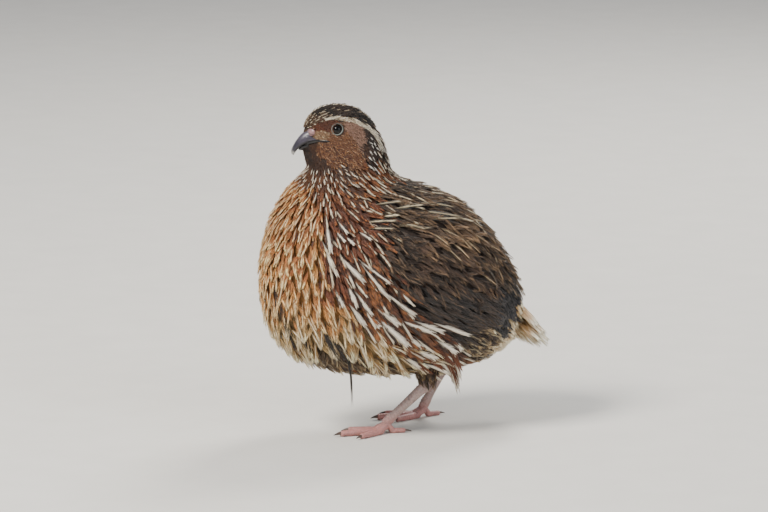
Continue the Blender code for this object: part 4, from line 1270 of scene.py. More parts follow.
    def trace(
        self, u: np.ndarray, v: np.ndarray, nature: np.ndarray, plume: Plume, streak: np.ndarray,
        free: np.ndarray | float | None = None,
    ) -> Quills:
        """Runs shafts from their roots along the form, and clear of it where they hang.

        Args:
            u: angles of the roots.
            v: places of the roots among the stations.
            nature: run, drop, length and width at each root.
            plume: the kind of feather.
            streak: width of each one's bold streak, or 0.
            free: how far each hangs clear, where it isn't the plume's own.

        Returns:
            The shafts.
        """
        count, draw = len(u), self.draw
        free = np.broadcast_to(plume.free if free is None else free, count)[:, None, None]
        root = np.stack((u / (2 * math.pi) % 1, np.interp(v, *self.unwrap)), 1) * 0.98 + 0.01
        length = nature[:, 2] * draw.uniform(0.82, 1.18, count) * MM
        width = nature[:, 3] * draw.uniform(0.85, 1.15, count) * MM
        angle = HEAD_TURN * (1 - fade(v, *TURN_FADE))
        lie = np.stack(
            (-np.sin(angle) * nature[:, 0], np.cos(angle) * nature[:, 0], -nature[:, 1]), 1
        )
        stray = np.tan(np.radians(draw.normal(0, plume.unruly, count)))
        step = length / (PATH_STEPS - 1)
        points, ups = [], []
        for k in range(PATH_STEPS):
            here, along_u, along_v, out = self.form.frames(u, v)
            flat = unit(lie - out * (lie * out).sum(1, keepdims=True))
            flat = unit(flat + np.cross(out, flat) * stray[:, None])
            points.append(here)
            ups.append(out)
            if k == 0:
                first = flat
            uu, vv = ((along * along).sum(1) for along in (along_u, along_v))
            uv = (along_u * along_v).sum(1)
            du, dv = (along_u * flat).sum(1), (along_v * flat).sum(1)
            scale = step / np.maximum(uu * vv - uv * uv, 1e-14)
            u = u + (vv * du - uv * dv) * scale
            v = np.clip(v + (uu * dv - uv * du) * scale, 0.05, LAST_STATION - 0.05)
        path, up = np.stack(points, 1), np.stack(ups, 1)
        share = np.linspace(0, 1, PATH_STEPS)[None, :, None]
        fall = np.array((0.0, 0.0, -0.35)) * free
        loose = path[:, :1] + (first[:, None] * share + fall * share**2) * length[:, None, None]
        path += (loose - path) * free * share**1.5
        low, high = plume.lift
        tips = high * draw.uniform(0.5, 1.35, (count, 1, 1)) + 0.35 * (streak > 0)[:, None, None]
        size = np.minimum(1.0, length / (6 * MM))[:, None, None] ** 0.5
        path += up * (low + (tips * size - low) * share) * MM
        goal = path[:, -1].copy()
        if plume.lock:
            tree = tree_of(goal[self.spread(goal, np.full(count, plume.lock * MM))])
            goal = np.array([tree.find(tip)[0] for tip in path[:, -1]])
            path += (goal - path[:, -1])[:, None] * plume.pull * share**1.6
        return self.framed(path, up, length, width, root, self.mood(goal), streak)

    @staticmethod
    def framed(path: np.ndarray, up: np.ndarray, *facts: np.ndarray) -> Quills:
        """Works out the directions across shafts.

        Args:
            path: points along each shaft.
            up: the direction out of the feather at each.
            facts: the shafts' lengths, widths, roots, moods and streaks.

        Returns:
            The shafts.
        """
        ahead = unit(np.gradient(path, axis=1))
        side = unit(np.cross(ahead, up))
        return Quills(path, side, np.cross(side, ahead), *facts)

    def piece(
        self, name: str, slot: str, parts: list[Blades], rings: int, finish: bpy.types.Material
    ) -> list:
        """Joins blades in objects that stay under a limit of triangles.

        Args:
            name: the name of the pieces.
            slot: the record's material slot.
            parts: the blades.
            rings: how many rings each blade has.
            finish: their material.

        Returns:
            The objects.
        """
        corners = np.concatenate([one.corners for one in parts])
        colours = np.concatenate([one.colours for one in parts])
        patches = np.concatenate([one.patches for one in parts])
        each = 3 * rings + 1
        blades = len(corners) // each
        pieces = math.ceil(blades * (6 * rings - 2) / PIECE_LIMIT)
        made = []
        for k in range(pieces):
            first, last = (blades * j // pieces * each for j in (k, k + 1))
            label = name if pieces == 1 else f"{name}_{k + 1}"
            faces = Blades.faces((last - first) // each, rings)
            item = mesh_object(label, corners[first:last], faces)
            made.append(dress(item, slot, finish, colours[first:last]))
            layer = item.data.uv_layers.new(name="OFBake")
            layer.data.foreach_set("uv", patches[first:last][faces.ravel()].astype(np.float32).ravel())
        LOG.info("%s: %d blades in %d pieces", name, blades, pieces)
        return made


def mesh_object(name: str, corners: np.ndarray, faces: np.ndarray) -> bpy.types.Object:
    """Makes an object from arrays of corners and triangles.

    Args:
        name: the object's name.
        corners: points.
        faces: three corners for each triangle.

    Returns:
        The object, shaded smooth.
    """
    mesh = bpy.data.meshes.new(name)
    mesh.vertices.add(len(corners))
    mesh.vertices.foreach_set("co", corners.astype(np.float32).ravel())
    mesh.loops.add(faces.size)
    mesh.loops.foreach_set("vertex_index", faces.astype(np.int32).ravel())
    mesh.polygons.add(len(faces))
    mesh.polygons.foreach_set("loop_start", np.arange(0, faces.size, 3, dtype=np.int32))
    mesh.polygons.foreach_set("use_smooth", np.ones(len(faces), bool))
    mesh.update(calc_edges=True)
    made = bpy.data.objects.new(name, mesh)
    bpy.context.scene.collection.objects.link(made)
    return made


def object_of(bm: bmesh.types.BMesh, name: str) -> bpy.types.Object:
    """Turns a bmesh into a smooth object in the scene.

    Args:
        bm: the bmesh, which is freed.
        name: the object's name.

    Returns:
        The object.
    """
    mesh = bpy.data.meshes.new(name)
    bm.to_mesh(mesh)
    bm.free()
    mesh.shade_smooth()
    made = bpy.data.objects.new(name, mesh)
    bpy.context.scene.collection.objects.link(made)
    return made


def dress(
    item: bpy.types.Object, slot: str, finish: bpy.types.Material, colours: np.ndarray, *nodes: str
) -> bpy.types.Object:
    """Finishes a piece, rides it on the bird and hides the nodes that it stands for.

    Args:
        item: the piece.
        slot: the record's material slot; not used.
        finish: its material.
        colours: a linear colour for each vertex, which the material reads as Tint.
        nodes: the nodes that it replaces.

    Returns:
        The piece.
    """
    layer = item.data.color_attributes.new("Tint", "FLOAT_COLOR", "POINT")
    whole = np.concatenate((np.clip(colours, 0, 1), np.ones((len(colours), 1))), 1)
    layer.data.foreach_set("color", whole.astype(np.float32).ravel())
    item.data.materials.append(finish)
    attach(item, "root")
    if nodes:
        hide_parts(*nodes)
    return item


def node(
    tree: bpy.types.NodeTree, kind: str, values: dict | None = None, links: dict | None = None, **settings
) -> bpy.types.Node:
    """Adds a node with its settings and links.

    Args:
        tree: the material's node tree.
        kind: the node's type.
        values: values of its inputs.
        links: sockets that feed its inputs.
        settings: its other settings.

    Returns:
        The node.
    """
    made = tree.nodes.new(kind)
    for name, value in settings.items():
        setattr(made, name, value)
    for key, value in (values or {}).items():
        made.inputs[key].default_value = value
    for key, socket in (links or {}).items():
        tree.links.new(socket, made.inputs[key])
    return made


@dataclass(frozen=True)
class Finish:
    """A material whose base colour comes from the Tint of the piece.

    Args:
        name: what the real surface is.
        roughness: how matt it is.
        mottle: how strongly fine noise varies the colour.
        grain: size of that noise, in millimetres.
        bump: depth of the relief, in millimetres.
        bump_size: size of the relief's cells, in millimetres.
        scaly: whether the relief is of scales and not of threads.
        coat: strength of a clear wet layer.
        sheen: soft light at the edges.
        translucent: how far light passes through.
        ior: index of refraction.
        specular: how strongly it reflects.
    """

    name: str
    roughness: float
    mottle: float = 0.25
    grain: float = 0.6
    bump: float = 0.05
    bump_size: float = 0.4
    scaly: bool = False
    coat: float = 0.0
    sheen: float = 0.0
    translucent: float = 0.0
    ior: float = 1.5
    specular: float = 0.5

    def make(self) -> bpy.types.Material:
        """Builds the material.

        Returns:
            The material.
        """
        made = bpy.data.materials.new(self.name)
        made.use_nodes = True
        tree = made.node_tree
        shader = tree.nodes["Principled BSDF"]
        for key, value in (
            ("Roughness", self.roughness),
            ("IOR", self.ior),
            ("Specular IOR Level", self.specular),
            ("Coat Weight", self.coat),
            ("Coat Roughness", 0.03),
            ("Sheen Weight", self.sheen),
            ("Subsurface Weight", self.translucent),
            ("Subsurface Scale", 0.001),
        ):
            shader.inputs[key].default_value = value
        place = node(tree, "ShaderNodeTexCoord").outputs["Object"]
        colour = node(tree, "ShaderNodeAttribute", attribute_name="Tint").outputs["Color"]
        noise = node(
            tree, "ShaderNodeTexNoise", {"Scale": 1 / (self.grain * MM), "Detail": 3.0}, {"Vector": place}
        )
        shade = node(
            tree,
            "ShaderNodeMapRange",
            {"From Min": 0.3, "From Max": 0.7, "To Min": 1 - self.mottle, "To Max": 1 + self.mottle},
            {"Value": noise.outputs["Fac"]},
        )
        mix = node(
            tree,
            "ShaderNodeVectorMath",
            links={0: colour, 1: shade.outputs["Result"]},
            operation="MULTIPLY",
        )
        tree.links.new(mix.outputs["Vector"], shader.inputs["Base Color"])
        if self.scaly:
            relief = node(
                tree, "ShaderNodeTexVoronoi", {"Scale": 1 / (self.bump_size * MM)}, {"Vector": place}
            ).outputs["Distance"]
        else:
            relief = node(
                tree, "ShaderNodeTexNoise", {"Scale": 1 / (self.bump_size * MM)}, {"Vector": place}
            ).outputs["Fac"]
        bump = node(
            tree, "ShaderNodeBump", {"Strength": 1.0, "Distance": self.bump * MM}, {"Height": relief}
        )
        tree.links.new(bump.outputs["Normal"], shader.inputs["Normal"])
        return made


# Contour feathers: keratin barbs, matt, with a faint soft light at the edges.
FEATHER = Finish("feather_keratin", 0.62, mottle=0.22, grain=0.35, bump=0.03, bump_size=0.12, sheen=0.08)
# Skin with down, all but hidden by the feathers: matt and darker than they are.
DOWN = Finish("downy_skin", 0.9, mottle=0.3, grain=0.8, bump=0.2, bump_size=0.5)
# Cornea over a dark iris: wet, with sharp highlights.
CORNEA = Finish("wet_cornea", 0.06, mottle=0.0, bump=0.0, coat=0.1, ior=1.38, specular=0.4)
# Rim of the lids: bare skin, finely beaded and a little moist.
LID = Finish("lid_skin", 0.45, mottle=0.12, grain=0.5, bump=0.05, bump_size=0.25, scaly=True)
# Bill and claws: keratin horn, smooth and slightly waxy, with faint growth lines.
HORN = Finish("keratin_horn", 0.34, mottle=0.16, grain=0.7, bump=0.02, bump_size=0.3)
# Legs: scaly skin over scutes, a little waxy where the scutes turn.
SCALES = Finish(
    "scaly_leg_skin", 0.48, mottle=0.22, grain=0.7, bump=0.06, bump_size=0.45, scaly=True, translucent=0.1
)


def smooth(angle: np.ndarray, far: np.ndarray) -> np.ndarray:
    """The relief of a tube without any."""
    return np.zeros(len(far))


class Loft:
    """Closed shapes as a grid wrapped round a path of rings."""

    @staticmethod
    def wrap(name: str, rounds: int, rings: int, shape: Callable) -> bpy.types.Object:
        """Wraps a grid round a shape and closes it.

        Args:
            name: the object's name.
            rounds: faces round the shape.
            rings: faces along it.
            shape: gives points for arrays of shares round and along.

        Returns:
            The object, shaded smooth.
        """
        bm = bmesh.new()
        bmesh.ops.create_grid(bm, x_segments=rounds, y_segments=rings, size=0.5)
        flat = np.array([vert.co[:2] for vert in bm.verts]) + 0.5
        for vert, place in zip(bm.verts, shape(flat[:, 0], flat[:, 1])):
            vert.co = place
        bmesh.ops.remove_doubles(bm, verts=bm.verts, dist=1e-6)
        bmesh.ops.holes_fill(bm, edges=[edge for edge in bm.edges if edge.is_boundary])
        bmesh.ops.recalc_face_normals(bm, faces=bm.faces)
        return object_of(bm, name)

    @staticmethod
    def tube(
        name: str, path: np.ndarray, radii: np.ndarray, rings: int, relief: Callable,
        narrow: float = 1.0, floor: float | None = None, rounds: int = 40,
    ) -> bpy.types.Object:
        """A closed tube along a path with relief on its skin.

        Args:
            name: the object's name.
            path: its stations.
            radii: its radius at each.
            rings: faces along it.
            relief: gives the rise for arrays of angles and lengths along.
            narrow: its width as a share of its depth.
            floor: a height that nothing goes below.
            rounds: faces round it.

        Returns:
            The object.
        """
        table = np.concatenate((path, radii[:, None]), 1)
        gaps = np.linalg.norm(np.diff(path, axis=0), axis=1)
        run = np.concatenate(([0], np.cumsum(gaps)))

        def shape(round_it: np.ndarray, along: np.ndarray) -> np.ndarray:
            far = along * run[-1]
            place = np.interp(far, run, np.arange(len(run)))
            spot = blend_rows(table, place)
            step = blend_rows(table, place + 0.05) - blend_rows(table, place - 0.05)
            ahead = unit(step[:, :3])
            wide = unit(np.cross(ahead, np.array((0.0, 0.0, 1.0)) + 1e-6))
            tall = np.cross(wide, ahead)
            angle = round_it * 2 * math.pi
            radius = spot[:, 3] + relief(angle, far)
            cap = np.sqrt(np.clip(1 - np.clip((along - 0.94) / 0.06, 0, 1) ** 2, 0, 1))
            radius = radius * np.maximum(cap, 0.02)
            made = spot[:, :3] + wide * (np.cos(angle) * radius * narrow)[:, None]
            made = made + tall * (np.sin(angle) * radius)[:, None]
            if floor is not None:
                made[:, 2] = np.maximum(made[:, 2], floor)
            return made

        return Loft.wrap(name, rounds, rings, shape)


def corners_of(item: bpy.types.Object) -> np.ndarray:
    """The places of an object's vertices."""
    places = np.empty(len(item.data.vertices) * 3, np.float32)
    item.data.vertices.foreach_get("co", places)
    return places.reshape(-1, 3).astype(float)


@dataclass
class Skin:
    """One skin under all the feathers, with the folded wings, the tail's stump and the thighs.

    Args:
        form: the form that it follows.
        depth: how far it lies inside the form, on the head and on the body.
        faces: faces round it and along it.
        nodes: the nodes that it stands for.
    """

    form: Form
    depth: tuple[float, float] = (0.0005, 0.0011)
    faces: tuple[int, int] = (160, 230)
    nodes: tuple[str, ...] = ("head", "neck", "torso", "wing_left", "wing_right", "tail")

    def shell(self, round_it: np.ndarray, along: np.ndarray) -> np.ndarray:
        """Points of the skin.

        Args:
            round_it: shares of the way round it.
            along: shares of the way along it.

        Returns:
            One point for each pair.
        """
        u, v = round_it * 2 * math.pi, along * LAST_STATION
        point, _, _, out = self.form.frames(u, v)
        depth = self.depth[0] + (self.depth[1] - self.depth[0]) * fade(v, 6, 9)
        skin = point - out * depth[:, None]
        for end, tip, inner in ((0.0, FACE_TIP, 0.0004), (1.0, RUMP_TIP, -0.001)):
            middle = np.array([(0.0, tip[0] + inner, tip[1])])
            pole = self.form.turn(middle, np.array([end * LAST_STATION]))
            skin = np.where((np.abs(along - end) < 1e-6)[:, None], pole, skin)
        return skin

    def build(
        self, plumage: Plumage, extras: list[bpy.types.Object], finish: bpy.types.Material
    ) -> None:
        """Builds the skin with the same markings as the coat, but darker.

        Args:
            plumage: the coat that covers it.
            extras: closed forms that are joined to it.
            finish: its material.
        """
        skin = Loft.wrap("skin", *self.faces, self.shell)
        for extra in extras:
            union = skin.modifiers.new("Join", "BOOLEAN")
            union.operation = "UNION"
            union.solver = "MANIFOLD"
            union.object = extra
        graph = bpy.context.evaluated_depsgraph_get()
        whole = bpy.data.meshes.new_from_object(skin.evaluated_get(graph))
        skin.modifiers.clear()
        whole.materials.clear()
        skin.data = whole
        for extra in extras:
            bpy.data.objects.remove(extra)
        u, v = grid(np.linspace(0, 2 * math.pi, 90), np.linspace(0, LAST_STATION, 200))
        _, kind = plumage.nature(u, v)
        tree = tree_of(self.form.point(u, v))
        # The skin is darker than the coat, and lighter in some tracts as painted light in the gaps.
        web = np.array([linear(PLUMES[one].web) * SKIN_SHARE.get(one, SKIN_LIGHT) for one in Tract])
        colours = web[[kind[tree.find(place)[1]] for place in corners_of(skin)]]
        dress(skin, "breast_plumage", finish, colours, *self.nodes)
        LOG.info("skin: %d faces", len(skin.data.polygons))


@dataclass
class Tail:
    """The short tail: a fan of soft feathers between coverts, hanging from the rump.

    Args:
        form: the form that it hangs from.
        root: where it starts.
        tip: where its stump ends.
        half_width: half the fan's width at its root.
        thickness: the stump's thickness at its root.
        core: rings of the stump: share of the way to its tip, of its width and thickness.
        fan: how far the outer feathers point aside.
        spread: how far apart the roots are, as a share of the width.
        slim: the stump's width as a share of the fan's.
    """

    form: Form
    root: tuple = (0.0, 0.0600, 0.0560)
    tip: tuple = (0.0, 0.0765, 0.0420)
    half_width: float = 0.0115
    thickness: float = 0.0210
    core: tuple = ((0.0, 0.75, 1.0), (0.35, 0.95, 0.78), (0.75, 0.85, 0.45), (1.0, 0.4, 0.15))
    fan: float = math.radians(32)
    spread: float = 0.95
    slim: float = 0.72

    # Layers: feathers, length, rise over the middle, share of the way from the root, droop of
    # the tips, width, and the kind.
    layers = (
        (15, 20.5, 0.4, 0.35, -0.8, 7.4, Tract.TAIL),
        (15, 19.5, -2.4, 0.25, -1.6, 7.4, Tract.TAIL),
        (13, 20.5, 3.4, 0.30, -0.8, 7.4, Tract.TAIL),
        (13, 19.0, 6.0, 0.22, -1.2, 7.0, Tract.TAIL),
        (11, 16.5, 8.4, 0.12, -1.8, 6.6, Tract.TAIL),
        (9, 10.0, 7.4, -0.15, -1.0, 5.4, Tract.COVERT),
        (9, 10.5, 9.6, -0.20, -1.6, 5.4, Tract.COVERT),
        (9, 11.0, 11.4, -0.30, -2.6, 5.0, Tract.COVERT),
        (13, 16.5, -5.0, 0.20, -1.4, 6.4, Tract.UNDERTAIL),
        (13, 14.5, -7.4, 0.10, 0.4, 6.4, Tract.UNDERTAIL),
    )

    def axes(self) -> tuple[np.ndarray, ...]:
        """Finds the tail's root and directions.

        Returns:
            The root, the way to the tip, and the directions along, aside and up.
        """
        root, tip = np.array(self.root), np.array(self.tip)
        along = unit(tip - root)
        side = np.array((1.0, 0.0, 0.0))
        return root + self.form.shift, tip - root, along, side, unit(np.cross(side, along))

    def stump(self) -> bpy.types.Object:
        """Builds the stump under the feathers, to be joined to the skin.

        Returns:
            The object.
        """
        root, way, _, side, up = self.axes()

        def shape(round_it: np.ndarray, along: np.ndarray) -> np.ndarray:
            share, wide, deep = blend_rows(np.array(self.core), along * (len(self.core) - 1)).T
            angle = round_it * 2 * math.pi
            spoke = side * (self.half_width * self.slim * wide * np.cos(angle))[:, None]
            spoke = spoke + up * (self.thickness * 0.42 * deep * np.sin(angle))[:, None]
            return root + way * share[:, None] + spoke

        return Loft.wrap("stump", 28, 14, shape)

    def feathers(self, draw: np.random.Generator) -> dict:
        """Shafts of the tail's feathers by kind.

        Args:
            draw: the source of random values.

        Returns:
            Lists of shafts for each kind.
        """
        root, way, along, side, up = self.axes()
        found: dict = {}
        part = np.linspace(0, 1, PATH_STEPS)[:, None]
        for count, length, rise, start, droop, width, tract in self.layers:
            for k in range(count):
                share = 2 * k / (count - 1) - 1 + draw.uniform(-0.08, 0.08)
                angle = self.fan * share + math.radians(draw.normal(0, PLUMES[tract].unruly / 2))
                ahead = along * math.cos(angle) + side * math.sin(angle)
                here = root + way * start + side * self.half_width * self.spread * share
                here = here + up * rise * MM * (1 - 0.5 * share * share)
                reach = length * MM * (1 - 0.12 * share * share) * draw.uniform(0.9, 1.1)
                bend = droop * MM * draw.uniform(0.5, 1.5)
                path = here + ahead * reach * part + up * bend * part**2
                tilt = unit(up * math.cos(share * 0.6) + side * math.sin(share * 0.6))
                facts = (path, np.repeat(tilt[None], PATH_STEPS, 0), reach, width * MM)
                place = (0.5 + 0.2 * share, 0.985)
                found.setdefault(tract, []).append((*facts, place, draw.random(), 0.0))
        return {
            tract: Plumage.framed(*(np.array(part) for part in zip(*rows)))
            for tract, rows in found.items()
        }


@dataclass
class Eye:
    """An eye: its ball with iris and pupil, and the rim of its lids.

    Args:
        side: left or right.
        centre: the middle of the ball.
        outward: where it looks.
        pupil: the pupil's radius.
        iris: the radii between which the iris darkens.
        bulge: the rise of the cornea, and the radii where it ends and where it is full.
        beads: beads round the rim of the lids.
        bead: how far each stands out.
        crest: the rim's radius and the width of its crest.
    """

    side: str
    centre: Vector
    outward: Vector
    pupil: float = 0.0019
    iris: tuple[float, float] = (0.0019, 0.0024)
    bulge: tuple[float, float, float] = (0.00035, 0.0023, 0.0007)
    beads: int = 30
    bead: float = 0.00006
    crest: tuple[float, float] = (0.00260, 0.00019)

    # Section of the lids: distance from the eye's axis and height over its middle, in
    # millimetres, from the inner edge over the rim and down into the skin.
    lid_section = (
        (2.30, 2.10), (2.32, 2.46), (2.48, 2.62), (2.72, 2.58), (2.95, 2.40),
        (3.30, 2.08), (3.70, 1.75), (4.00, 1.45), (3.60, 1.20), (2.80, 1.40),
    )

    def seat(self) -> Matrix:
        """The place and turn of the eye."""
        turn = self.outward.to_track_quat("Z", "Y").to_matrix().to_4x4()
        return Matrix.Translation(self.centre) @ turn

    def ball(self, finish: bpy.types.Material) -> None:
        """Builds the ball with a bulging cornea, dark iris and black pupil.

        Args:
            finish: the cornea.
        """
        bm = bmesh.new()
        bmesh.ops.create_uvsphere(bm, u_segments=64, v_segments=40, radius=EYE_RADIUS)
        places = np.array([vert.co for vert in bm.verts])
        out = np.hypot(places[:, 0], places[:, 1])
        front = places[:, 2] > 0
        height, end, full = self.bulge
        for vert, rise in zip(bm.verts, height * fade(end - out, 0.0, end - full) * front):
            vert.co.z += rise
        bmesh.ops.transform(bm, matrix=self.seat(), verts=bm.verts)
        iris = toward(linear("241308"), "100804", fade(out, *self.iris))
        pupil = fade(out, self.pupil + 0.0001, self.pupil - 0.0001)
        item = object_of(bm, f"eyeball_{self.side}")
        dress(item, "eye", finish, toward(iris, "030202", pupil), f"eye_{self.side}")

    def rim(self, finish: bpy.types.Material) -> None:
        """Builds the beaded rim of the lids, which runs down into the skin.

        Args:
            finish: the bare skin of the lids.
        """
        bm = bmesh.new()
        verts = [bm.verts.new((x * MM, 0.0, z * MM)) for x, z in self.lid_section]
        bm.faces.new(verts)
        bmesh.ops.spin(
            bm, geom=bm.verts[:] + bm.edges[:] + bm.faces[:], cent=(0, 0, 0), axis=(0, 0, 1),
            angle=2 * math.pi, steps=96, use_merge=True,
        )
        bmesh.ops.delete(bm, geom=[f for f in bm.faces if len(f.verts) > 4], context="FACES_ONLY")
        bmesh.ops.remove_doubles(bm, verts=bm.verts, dist=1e-7)
        places = np.array([vert.co for vert in bm.verts])
        out = np.hypot(places[:, 0], places[:, 1])
        angle = np.arctan2(places[:, 1], places[:, 0])
        crest = np.exp(-(((out - self.crest[0]) / self.crest[1]) ** 2)) * (places[:, 2] > 0.0019)
        bead = self.bead * np.abs(np.sin(angle * self.beads / 2)) * crest
        lean = Vector((LID_LEAN[0] if self.side == "left" else -LID_LEAN[0], LID_LEAN[1], 0.0))
        for vert, rise in zip(bm.verts, bead):
            vert.co += lean * (vert.co.dot(lean) * LID_STRETCH) + Vector((0.0, 0.0, rise))
        bmesh.ops.recalc_face_normals(bm, faces=bm.faces)
        bmesh.ops.transform(bm, matrix=self.seat(), verts=bm.verts)
        # The pale crest is darker on its upper half: painted shade from the brow above it.
        low = 0.45 + 0.55 * fade(places[:, 1], 0.0020, -0.0012)
        pale = toward(linear("231c18"), "838a82", crest * low)
        colours = toward(pale, "4a2e1b", fade(out, 0.0029, 0.0034))
        dress(object_of(bm, f"lids_{self.side}"), "head_plumage", finish, colours)


@dataclass
class Bill:
    """The bill: both halves, with the soft flaps over the nostrils.

    Args:
        form: the form that it grows from.
        upper: stations of the upper half, in millimetres: y and z of the mouth's edge, y and
            z of the ridge, and half the width.
        lower: the same of the lower half.
        flap_size: half the nostril flap's thickness, length and height, in millimetres.
        arch: share of a station's points that run over its outer side, not along the mouth.
    """

    form: Form
    upper: tuple = (
        (-34.0, 143.2, -37.5, 149.2, 4.0),
        (-38.5, 142.1, -41.2, 146.4, 3.4),
        (-41.2, 140.7, -43.7, 143.4, 2.6),
        (-43.3, 138.8, -45.3, 140.8, 1.8),
        (-44.6, 137.0, -46.2, 138.5, 1.15),
        (-45.2, 136.0, -46.2, 136.8, 0.6),
    )
    lower: tuple = (
        (-34.0, 142.6, -34.5, 138.8, 3.5),
        (-38.5, 141.5, -38.5, 138.4, 2.9),
        (-41.2, 140.4, -41.0, 138.3, 2.0),
        (-42.7, 139.0, -42.7, 138.5, 0.3),
    )
    flap_size: tuple = (1.2, 2.7, 2.0)
    arch: float = 0.72

    def half(self, name: str, rows: tuple, ridge: float) -> bpy.types.Object:
        """One half of the bill.

        Args:
            name: the object's name.
            rows: its stations from the base to the tip.
            ridge: how sharp its outer ridge is.

        Returns:
            The object.
        """
        table = MM * np.array(rows)

        def shape(round_it: np.ndarray, along: np.ndarray) -> np.ndarray:
            place = along**0.85 * (len(rows) - 1)
            edge_y, edge_z, ridge_y, ridge_z, width = blend_rows(table, place).T
            arch = np.clip(round_it / self.arch, 0, 1) * math.pi
            back = np.clip((round_it - self.arch) / (1 - self.arch), 0, 1)
            rise = np.sin(arch) ** ridge * (round_it < self.arch)
            x = width * (np.cos(arch) + 2 * back)
            y = edge_y + (ridge_y - edge_y) * rise
            z = edge_z + (ridge_z - edge_z) * rise
            return self.form.turn(np.stack((x, y, z), 1), np.zeros(len(x)))

        return Loft.wrap(name, 56, 44, shape)

    def build(self, finish: bpy.types.Material) -> None:
        """Builds both halves, the flaps and the lips.

        The horn is pale at the tip and black along the mouth. Its lighter, greyer base is a
        painted highlight on the lit side, and the pale line along the ridge is a painted highlight.

        Args:
            finish: the horn.
        """
        upper = self.half("upper_bill", self.upper, 0.80)
        lower = self.half("lower_bill", self.lower, 0.85)
        for item, rows, colours, node_name in (
            (upper, self.upper, ("423d48", "2b2933", "8f8e8a"), "bill_upper"),
            (lower, self.lower, ("1c191b", "121114", "1c1a1e"), "bill_lower"),
        ):
            x, y, z = self.form.level(corners_of(item)).T
            table = MM * np.array(rows)
            over = z - np.interp(-y, -table[:, 0], table[:, 1])
            far = np.linalg.norm((x, y - table[-1, 0], z - table[-1, 1]), axis=0)
            base, middle, end = colours
            # Lighter and greyer towards the base: a painted highlight of the lit side.
            colour = toward(linear(middle), base, fade(far, 0.0055, 0.0105))
            # A pale line along the ridge of the upper half: a painted highlight.
            ridge = 0.4 * fade(0.0013 - np.abs(x), 0.0, 0.0008) * (over > 0.001)
            colour = toward(colour, end, ridge)
            colour = toward(colour, "111013", fade(0.0019 - over, 0.0, 0.0012))
            colour = toward(colour, end, fade(0.0029 - far, 0.0, 0.0014))
            dress(item, "bill_horn", finish, colour, node_name)
        for side in (1, -1):
            self.soft_flap(side, finish)
            self.lip(side, "gape", GAPE_LINE, GAPE_RADII, "0f0c0c", finish)
            self.lip(side, "horn_edge", LIP_LINE, LIP_RADII, "37333d", finish)
        LOG.info("bill built")

    def lip(
        self, side: int, label: str, line: tuple, radii: tuple, code: str, finish: bpy.types.Material
    ) -> None:
        """A strip of horn that runs back from the bill into the face.

        Args:
            side: 1 on the left and -1 on the right.
            label: its name.
            line: its points on the chart.
            radii: half its height at each, in millimetres.
            code: its colour.
            finish: the horn.
        """
        u, v = self.form.seek(np.array(line), 0.2, 6.0)
        u = u if side > 0 else 2 * math.pi - u
        point, _, _, out = self.form.frames(u, v)
        name = f"{label}_{'left' if side > 0 else 'right'}"
        path = point + out * LIP_RISE
        item = Loft.tube(name, path, np.array(radii) * MM, 60, smooth, narrow=0.5, rounds=20)
        dress(item, "bill_horn", finish, np.repeat(linear(code)[None], len(item.data.vertices), 0))

    def soft_flap(self, side: int, finish: bpy.types.Material) -> None:
        """The swollen flap over one nostril, with its slit below.

        Args:
            side: 1 on the left and -1 on the right.
            finish: the horn.
        """
        bm = bmesh.new()
        bmesh.ops.create_uvsphere(bm, u_segments=40, v_segments=28, radius=1.0)
        places = np.array([vert.co for vert in bm.verts])
        slit = np.exp(-(((places[:, 2] + 0.55) / 0.12) ** 2)) * fade(places[:, 0], 0.2, 0.7)
        u, v = self.form.seek(np.array((FLAP_SPOT,)), 0.1, 4.0)
        point, _, _, out = self.form.frames(u if side > 0 else 2 * math.pi - u, v)
        back = unit(np.cross((0.0, 0.0, 1.0), out[0])) * side
        axes = np.stack((out[0], back, np.cross(out[0], back) * side))
        shrunk = places * (1 - 0.16 * slit[:, None]) * np.array(self.flap_size) * MM
        for vert, place in zip(bm.verts, point[0] - out[0] * FLAP_SINK + shrunk @ axes):
            vert.co = place
        bmesh.ops.recalc_face_normals(bm, faces=bm.faces)
        item = object_of(bm, "nostril_flap_left" if side > 0 else "nostril_flap_right")
        colour = toward(linear("8f6d6c"), "5d5560", fade(-places[:, 1], 0.1, 0.8))
        # The slit is painted much darker: painted shade in the nostril's opening.
        dress(item, "bill_horn", finish, colour * (1 - 0.85 * slit[:, None]))


@dataclass(frozen=True)
class Toe:
    """A toe.

    Args:
        label: its name.
        degrees: its direction from straight ahead, outwards.
        length: its length.
        radius: its radius at the root.
    """

    label: str
    degrees: float
    length: float
    radius: float

    # The radius at the tip and the height of the middle line, as shares of the radius.
    SLIM = 0.74
    HEIGHT = 0.80

    @property
    def hind(self) -> bool:
        """Whether it is the short hind toe."""
        return self.label == "hind"


